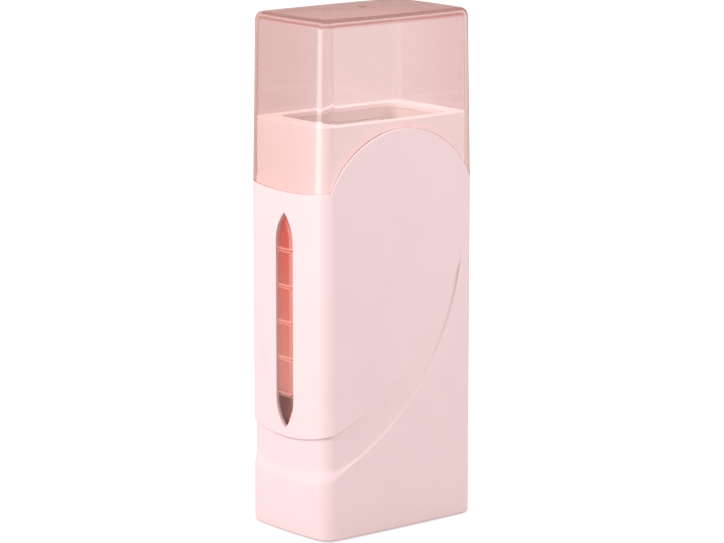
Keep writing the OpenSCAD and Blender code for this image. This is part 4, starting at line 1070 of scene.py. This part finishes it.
class HEATER_OT_stage(bpy.types.Operator):
    """Makes the camera, the floor and the lamps"""

    bl_idname = "heater.stage"
    bl_label = "Stage"

    def execute(self, context):
        view = context.scene.wax_heater.view
        camera = bpy.data.objects.new("Camera", bpy.data.cameras.new("Camera"))
        context.scene.collection.objects.link(camera)
        camera.location = (
            -view.distance * math.sin(view.azimuth), -view.distance * math.cos(view.azimuth),
            view.height,
        )
        camera.rotation_euler = (math.pi / 2 - view.pitch, 0, -view.azimuth)
        camera.data.sensor_width = SENSOR_WIDTH
        camera.data.lens = view.focal_length
        camera.data.clip_start = NEAREST
        camera.data.clip_end = FURTHEST
        context.scene.camera = camera
        context.scene.view_settings.view_transform = "Standard"
        self.floor(view)
        self.surroundings()
        for lamp in LAMPS:
            self.lamp(*lamp)
        return {"FINISHED"}

    def glow_round(self, material, levels, near):
        """Light of the floor, by direction from the object."""
        place = add(material, "ShaderNodeTexCoord").outputs["Object"]
        turn = add(material, "ShaderNodeTexGradient", {"Vector": place}, gradient_type="RADIAL")
        level = add(material, "ShaderNodeValToRGB", {"Fac": turn.outputs["Fac"]}, levels)
        reach = add(material, "ShaderNodeVectorMath", {0: place}, operation="LENGTH")
        far = add(material, "ShaderNodeMapRange", {
            "Value": reach.outputs["Value"], "From Min": NEAR_FLOOR[0], "From Max": NEAR_FLOOR[1],
        })
        glow = add(material, "ShaderNodeMix", {
            "Factor": far.outputs["Result"], "A": rgba(near), "B": level.outputs["Color"],
        }, data_type="RGBA")
        return add(material, "ShaderNodeEmission", {"Color": glow.outputs["Result"]}).outputs[0]

    def floor(self, view):
        """A floor that keeps a soft shadow. What the plastics show of it is the glow round it."""
        bm = bmesh.new()
        bmesh.ops.create_circle(bm, cap_ends=True, radius=view.floor_radius, segments=FLOOR_STEPS)
        floor = new_object("Floor", bm)
        # Matt paint: it mirrors nothing, and keeps the contact shadow soft and grey.
        material = new_material("Studio floor, painted matt")
        matt = add(material, "ShaderNodeBsdfPrincipled", {
            "Base Color": mottled(material, view.floor_colour, FLOOR_SPECK, *FLOOR_SHADES),
            "Roughness": 0.9, "Specular IOR Level": 0.1,
        })
        rays = add(material, "ShaderNodeLightPath")
        lift = add(material, "ShaderNodeMath", {
            0: rays.outputs["Is Camera Ray"], 1: FLOOR_LIFT,
        }, operation="MULTIPLY")
        light = add(material, "ShaderNodeEmission", {"Strength": lift.outputs[0]})
        shown = add(material, "ShaderNodeAddShader", {0: matt.outputs["BSDF"], 1: light.outputs[0]})
        # Light through a wall counts as mirrored too, so what shows through comes last.
        for ray, levels, near in (
            ("Is Glossy Ray", MIRRORED, NEAR_MIRRORED),
            ("Is Transmission Ray", BEHIND, NEAR_BEHIND),
        ):
            shown = add(material, "ShaderNodeMixShader", {
                0: rays.outputs[ray], 1: shown.outputs[0],
                2: self.glow_round(material, levels, near),
            })
        add(material, "ShaderNodeOutputMaterial", {"Surface": shown.outputs[0]})
        finish(floor, material)

    def surroundings(self):
        """White to the camera, even light on the matt pieces, a blush in and through the gloss."""
        world = bpy.data.worlds.new("Studio")
        bpy.context.scene.world = world
        world.use_nodes = True
        world.node_tree.nodes.clear()
        rays = add(world, "ShaderNodeLightPath")
        tone = rgba(WORLD_LIGHT)
        for ray, level in (
            ("Is Glossy Ray", WORLD_GLOSS), ("Is Transmission Ray", WORLD_THROUGH),
            ("Is Camera Ray", WHITE),
        ):
            tone = add(world, "ShaderNodeMix", {
                "Factor": rays.outputs[ray], "A": tone, "B": rgba(level),
            }, data_type="RGBA").outputs["Result"]
        light = add(world, "ShaderNodeBackground", {"Color": tone})
        add(world, "ShaderNodeOutputWorld", {"Surface": light.outputs[0]})

    def lamp(self, name, place, width, height, power):
        """A soft lamp that the plastics don't mirror."""
        lamp = bpy.data.objects.new(name, bpy.data.lights.new(name, "AREA"))
        bpy.context.scene.collection.objects.link(lamp)
        lamp.location = place
        lamp.rotation_euler = (LAMP_TARGET - Vector(place)).to_track_quat("-Z", "Y").to_euler()
        lamp.data.shape = "RECTANGLE"
        lamp.data.size = width
        lamp.data.size_y = height
        lamp.data.energy = power
        lamp.visible_glossy = lamp.visible_transmission = False


# ---------- pieces ----------


class HEATER_OT_casing(bpy.types.Operator):
    """Moulds the two half shells and cuts their openings"""

    bl_idname = "heater.casing"
    bl_label = "Half shells"

    def execute(self, context):
        settings = context.scene.wax_heater
        casing = settings.casing
        # The fine grain makes it satin: light spreads softly over it, without a mirror image.
        plastic = opaque(
            "ABS, injection moulded, fine spark-eroded grain", settings.colours.casing, 0.38
        )
        for side, name in ((FRONT, "front_shell"), (REAR, "rear_shell")):
            bm = bmesh.new()
            loft(bm, shell_sections(casing, side))
            shell = new_object(name + "_form", bm)
            structure = new_object("structure", inner_structure(casing, side))
            combine(structure, new_object("room", inner_room(casing)), "INTERSECT")
            combine(shell, structure, "UNION")
            for cutter in (openings(settings), switch_hole(), pockets(casing, side)):
                combine(shell, new_object("cutter", cutter), "DIFFERENCE")
            smooth_with_edges(shell)
            finish(shell, plastic)
            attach(shell, "base")
            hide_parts(name)
        return {"FINISHED"}


LID_WALL_STEPS, LID_EDGE_STEPS, LID_TOP_STEPS = 26, 9, 12
LID_TOP_END = 0.9  # how far the top's rows go from its rim towards its middle
GATE_EDGE = 0.1 * MM


class HEATER_OT_lid(bpy.types.Operator):
    """Moulds the transparent lift-off lid"""

    bl_idname = "heater.lid"
    bl_label = "Lid"

    def execute(self, context):
        settings = context.scene.wax_heater
        lid = new_object("lid_form", self.form(settings.casing, settings.lid))
        smooth_with_edges(lid)
        # The polished mould leaves a hard clear gloss. A wall seen flat is nearly colourless, and
        # its edges and the walls behind it gather pink.
        finish(lid, clear_plastic(
            "SAN, injection moulded, polished", settings.colours.lid, roughness=0.03, ior=1.57,
            haze=0.03, shadow_walls=0, far=settings.colours.lid_far, deepest=5,
        ))
        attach(lid, "lid")
        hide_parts("lid")
        return {"FINISHED"}

    def side_rows(self, casing, lid, p, inset, top):
        """(inset, height) of one of the lid's skins, from its lower edge to the rim of its top."""
        low = line_height(casing, p) + lid.gap
        radius = lid.edge_radius - inset
        wall_z = top - lid.crown - radius

        def lean(z):
            return inset + max(0, z - casing.line_height) * math.tan(lid.draft)

        edge = lid.rim_edge
        into = -1 if inset else 1
        rows = [
            (lean(low) + into * edge * (1 - along), low + edge * across)
            for across, along in quarter_turn(EDGE_STEPS)
        ]
        rows += [(lean(z), z) for z in between(low + edge, wall_z, LID_WALL_STEPS)[1:-1]]
        foot = lean(wall_z)
        rows += [(foot + radius * a, wall_z + radius * b) for a, b in quarter_turn(LID_EDGE_STEPS)]
        return rows

    def skin(self, casing, lid, inset, top):
        """Columns of points that go up one of the lid's skins and then in towards its middle."""
        rows = [self.side_rows(casing, lid, p, inset, top) for p in full_outline(casing, 0)]
        rings = rings_for(rows, lambda grow: full_outline(casing, grow))
        columns = [
            [(*rings[rounded(i)][k], z) for i, z in column] for k, column in enumerate(rows)
        ]
        reach = [max(column[-1][axis] for column in columns) for axis in (0, 1)]
        for column in columns:
            rim = Vector(column[-1][:2])
            for t in between(0, LID_TOP_END, LID_TOP_STEPS)[1:]:
                p = rim * (1 - t)
                column.append((*p, top - lid.crown + lid.crown * self.crown(p, reach)))
        return columns

    def crown(self, p, reach):
        """Rise of the top at p, from 0 at its rim, which is at reach, to 1 in the middle."""
        return (1 - (p.x / reach[0]) ** 2) * (1 - (p.y / reach[1]) ** 2)

    def gate(self, lid, p, top):
        """The round mark that the moulding gate leaves in the middle of the top."""
        way = Vector(p).normalized()
        profile = [(lid.gate_radius + GATE_EDGE, top), (lid.gate_radius, top + GATE_EDGE)]
        profile += [
            (lid.gate_radius - a * GATE_EDGE, top + lid.gate_height - GATE_EDGE + b * GATE_EDGE)
            for a, b in quarter_turn(EDGE_STEPS)
        ]
        return [(*(way * r), z) for r, z in profile]

    def form(self, casing, lid):
        """One closed mesh of the outer and inner skins, joined along the lower edge."""
        top = casing.line_height + lid.height
        outer = self.skin(casing, lid, 0, top)
        for column, p in zip(outer, full_outline(casing, 0)):
            column += self.gate(lid, p, top)
        inner = self.skin(casing, lid, lid.wall, top - lid.top)
        bm = bmesh.new()
        made = [
            [bm.verts.new(p) for p in list(reversed(a)) + b] for a, b in zip(outer, inner)
        ]
        outer_tip = bm.verts.new((0, 0, top + lid.gate_height))
        inner_tip = bm.verts.new((0, 0, top - lid.top))
        for a, b in zip(made, made[1:] + made[:1]):
            bm.faces.new((outer_tip, a[0], b[0]))
            for k in range(len(a) - 1):
                bm.faces.new((a[k], a[k + 1], b[k + 1], b[k]))
            bm.faces.new((inner_tip, b[-1], a[-1]))
        return bm


MARKS = 5
MARK_EDGE, MARK_CORNER = 0.12 * MM, 0.2 * MM
FLANGE_EDGE = 0.1 * MM
LENS_EDGE_STEPS = 9
MARK_HIGHLIGHT_WIDTH = 0.3 * MM  # width of the pale matt line that paints the highlight along a mark's rim
LENS_HAZE_AND_SHADE = 51 * MM, 53 * MM, 0.03, 0.3  # thin haze below the well's floor, thick in front of the well: painted shade, the lens darker below the well's floor
LENS_REDDENS = 60 * MM, 112 * MM  # heights between which its red deepens


class HEATER_OT_window(bpy.types.Operator):
    """Moulds the level window's lens with its level marks"""

    bl_idname = "heater.window"
    bl_label = "Level window"

    def execute(self, context):
        settings = context.scene.wax_heater
        window = settings.window
        lens = new_object("window_lens_form", self.body(window))
        combine(lens, new_object("marks", self.marks(window)), "UNION")
        smooth_with_edges(lens)
        # Tinted right through, so the pale well shows red behind it, and redder towards its top.
        # Pale matt lines round each mark are painted highlights on the marks' rims.
        # The haze's drop below the well's floor is painted shade, which keeps the lens dark there.
        finish(lens, clear_plastic(
            "Polycarbonate, red, injection moulded", settings.colours.window, roughness=0.06,
            ior=1.585, haze=LENS_HAZE_AND_SHADE, shadow_walls=0.1, deepest=1.7, deepening_heights=LENS_REDDENS,
            lines=(window.mark_low, window.mark_step, window.mark_height, MARK_HIGHLIGHT_WIDTH),
        ))
        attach(lens, "base")
        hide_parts("window_lens")
        return {"FINISHED"}

    def body(self, window):
        """The lens: a flange behind the slot, and a face with a rounded edge in it."""
        back = LENS[1].x
        seat = back - window.flange_thickness
        face = -HALF_W + window.recess
        flange, gap = window.flange, window.clearance
        rings = [
            (flange - FLANGE_EDGE, back), (flange, back - FLANGE_EDGE),
            (flange, seat + FLANGE_EDGE), (flange - FLANGE_EDGE, seat), (-gap, seat),
        ]
        rings += [
            (-gap - window.edge_width * a, face + window.edge_drop * (1 - b))
            for a, b in quarter_turn(LENS_EDGE_STEPS)
        ]
        bm = bmesh.new()
        cut_along_x(bm, [(slot_outline(window, grow), x) for grow, x in rings])
        return bm

    def marks(self, window):
        """Bars across the lens, with soft edges."""
        bm = bmesh.new()
        face = -HALF_W + window.recess
        top = face - window.mark_rise
        width = window.width - 2 * window.mark_inset
        soft = 0.3 * MARK_EDGE
        for k in range(MARKS):
            z = window.mark_low + k * window.mark_step
            cut_along_x(bm, [
                (raised(round_rect(
                    width + 2 * grow, window.mark_height + 2 * grow, MARK_CORNER
                ), z), x)
                for grow, x in (
                    (0, face + window.mark_rise), (0, top + MARK_EDGE), (-soft, top + soft),
                    (-MARK_EDGE, top),
                )
            ])
        return bm


class HEATER_OT_well(bpy.types.Operator):
    """Finishes the cartridge well and its heater plate"""

    bl_idname = "heater.well"
    bl_label = "Cartridge well"

    def execute(self, context):
        # Unfilled and thin, so it is milky: its walls pass a little light, without a hard shine.
        dress("cartridge_liner", milky_plastic(
            "Polypropylene, translucent, injection moulded", context.scene.wax_heater.colours.liner
        ))
        # The non-stick coat hides the metal: a pale skin with a coarser, duller surface.
        dress("heater_plate", opaque("Aluminium, PTFE coated", linear("#f4dcd6"), 0.45, bump=0.12))
        return {"FINISHED"}


class HEATER_OT_heating(bpy.types.Operator):
    """Finishes the heating element, its clamp and its thermal fuse"""

    bl_idname = "heater.heating"
    bl_label = "Heating element"

    def execute(self, context):
        # Fired and unglazed: dark grey-brown, and dull like a stone.
        dress("ptc_element", opaque("Barium titanate ceramic, fired", linear("#5b544f"), 0.7))
        # Rolling leaves the yellow metal smooth, with a satin shine.
        dress("ptc_electrodes", opaque("Brass, rolled sheet", linear("#c8a867"), 0.3, metallic=1))
        # Cast film: amber, and nearly as glossy as glass.
        dress("ptc_insulation", opaque("Polyimide, cast film", linear("#c98a33"), 0.2))
        # Zinc plate: a cool light grey that shines less than chrome.
        steel = opaque("Steel, pressed and zinc-plated", linear("#b9bcc0"), 0.32, metallic=1)
        dress("ptc_clamp", steel)
        dress("clamp_screws", steel)
        # A drawn can under tin: a warm grey, a little dulled.
        can = opaque("Brass, drawn and tinned", linear("#bfb39a"), 0.35, metallic=1)
        dress("thermal_fuse", can)
        # Woven glass: an off-white without any shine.
        dress("fuse_sleeve", opaque("Glass fibre, woven", linear("#e6e0cc"), 0.8))
        return {"FINISHED"}


class HEATER_OT_terminals(bpy.types.Operator):
    """Finishes the terminal block"""

    bl_idname = "heater.terminals"
    bl_label = "Terminal block"

    def execute(self, context):
        # Without a pigment it is the colour of ivory, with a soft shine.
        dress("terminal_block", opaque("Polyamide, natural, moulded", linear("#ece9dd"), 0.5))
        # Turning leaves bright yellow metal.
        dress("terminal_sleeves", opaque("Brass, turned", linear("#c8a867"), 0.3, metallic=1))
        # Zinc plate: a cool light grey.
        steel = opaque("Steel, headed and zinc-plated", linear("#b9bcc0"), 0.32, metallic=1)
        dress("terminal_screws", steel, 0)
        dress("block_screw", steel, 0)
        return {"FINISHED"}


class HEATER_OT_switch(bpy.types.Operator):
    """Finishes the rocker switch"""

    bl_idname = "heater.switch"
    bl_label = "Switch"

    def execute(self, context):
        # The housing's grain takes the shine off the black.
        dress("switch_housing", opaque("Polyamide, black, moulded", linear("#2b2b2d"), 0.45))
        # The rocker's mould is smoother, so the part that is touched shines more than its frame.
        rocker = opaque("Polycarbonate, black, moulded", linear("#333336"), 0.28)
        dress("switch_rocker", rocker, 0.25 * MM)
        # Stamped blades: bare yellow metal with a satin shine.
        dress("switch_terminals", opaque("Brass, stamped", linear("#c8a867"), 0.3, metallic=1), 0)
        return {"FINISHED"}


class HEATER_OT_inlet(bpy.types.Operator):
    """Finishes the mains inlet"""

    bl_idname = "heater.inlet"
    bl_label = "Mains inlet"

    def execute(self, context):
        # The glass in it dulls the surface: a flat dark grey.
        housing = opaque("Polyamide, black, glass filled, moulded", linear("#2a2a2c"), 0.5)
        dress("inlet_housing", housing)
        # Nickel plate: a warm silver, the brightest metal on the outside.
        nickel = opaque("Brass, nickel-plated", linear("#c9c7c0"), 0.2, metallic=1)
        dress("inlet_pins", nickel, 0.3 * MM)
        # Tin: a softer, duller silver.
        tinned = opaque("Brass, crimped and tinned", linear("#c4c0b4"), 0.35, metallic=1)
        dress("wire_connectors", tinned, 0)
        return {"FINISHED"}


class HEATER_OT_lamp(bpy.types.Operator):
    """Finishes the pilot lamp"""

    bl_idname = "heater.lamp"
    bl_label = "Pilot lamp"

    def execute(self, context):
        # Deep red and hazy, so that the lamp behind it would light the whole lens.
        dress("lamp_lens", clear_plastic(
            "Polycarbonate, deep red, moulded", linear("#e0402f"), roughness=0.08, ior=1.585,
            haze=0.35, shadow_walls=0.25,
        ))
        # Drawn glass over warm electrodes: pale amber, with a sharp shine.
        dress("neon_lamp", opaque("Soda glass, drawn", linear("#efc9ae"), 0.1))
        # The dipped coat is tan, rounded and half glossy.
        dress("lamp_resistor", opaque("Resistor enamel, dipped", linear("#c2a27a"), 0.4))
        return {"FINISHED"}


class HEATER_OT_fasteners(bpy.types.Operator):
    """Finishes the casing screws and the feet"""

    bl_idname = "heater.fasteners"
    bl_label = "Screws and feet"

    def execute(self, context):
        # Black zinc over steel: a dark silver that doesn't stand out in its hole.
        black_zinc = opaque("Steel, black zinc-plated", linear("#8f9093"), 0.35, metallic=1)
        dress("case_screws", black_zinc, 0)
        # Rubber swallows the light: dark grey, with no shine.
        dress("rubber_feet", opaque("Silicone rubber, grey, moulded", linear("#5c5957"), 0.8))
        return {"FINISHED"}


class HEATER_OT_wires(bpy.types.Operator):
    """Finishes the wires"""

    bl_idname = "heater.wires"
    bl_label = "Wires"

    def execute(self, context):
        # Extruded PVC: a plain strong colour with a soft waxy shine.
        brown = opaque("PVC, brown, extruded", linear("#7d4a30"), 0.4)
        blue = opaque("PVC, blue, extruded", linear("#3f6fb0"), 0.4)
        # Silicone, for the heat: an off-white, duller than PVC.
        white = opaque("Silicone, white, extruded", linear("#e8e4da"), 0.5)
        # Tin over copper: bright soft silver.
        tinned = opaque("Copper, drawn and tinned", linear("#b8b8ba"), 0.3, metallic=1)
        for material, nodes in (
            (brown, ("supply_wire_live", "switched_wire")), (blue, ("supply_wire_neutral",)),
            (white, ("heater_wire_live", "fuse_wire", "heater_wire_neutral")),
            (tinned, ("lamp_wires",)),
        ):
            for node in nodes:
                dress(node, material, 0)
        return {"FINISHED"}


# ---------- panel and registration ----------

STEPS = (
    HEATER_OT_stage, HEATER_OT_casing, HEATER_OT_lid, HEATER_OT_window, HEATER_OT_well,
    HEATER_OT_heating, HEATER_OT_terminals, HEATER_OT_switch, HEATER_OT_inlet, HEATER_OT_lamp,
    HEATER_OT_fasteners, HEATER_OT_wires,
)


class HEATER_PT_panel(bpy.types.Panel):
    """Lists the steps and the settings"""

    bl_label = "Wax heater"
    bl_space_type = "VIEW_3D"
    bl_region_type = "UI"
    bl_category = "Wax heater"

    def draw(self, context):
        settings = context.scene.wax_heater
        for step in STEPS:
            self.layout.operator(step.bl_idname)
        for group in (
            settings.view, settings.casing, settings.lid, settings.window, settings.colours
        ):
            block = self.layout.box()
            for name in group.bl_rna.properties.keys():
                if name not in ("rna_type", "name"):
                    block.prop(group, name)


CLASSES = (
    ViewSettings, CasingSettings, LidSettings, WindowSettings, ColourSettings, HeaterSettings,
    *STEPS, HEATER_PT_panel,
)


def register():
    for kind in CLASSES:
        bpy.utils.register_class(kind)
    bpy.types.Scene.wax_heater = bpy.props.PointerProperty(type=HeaterSettings)


def unregister():
    del bpy.types.Scene.wax_heater
    for kind in reversed(CLASSES):
        bpy.utils.unregister_class(kind)


def main():
    register()
    for step in STEPS:
        group, name = step.bl_idname.split(".")
        getattr(getattr(bpy.ops, group), name)()


if __name__ == "__main__":
    main()
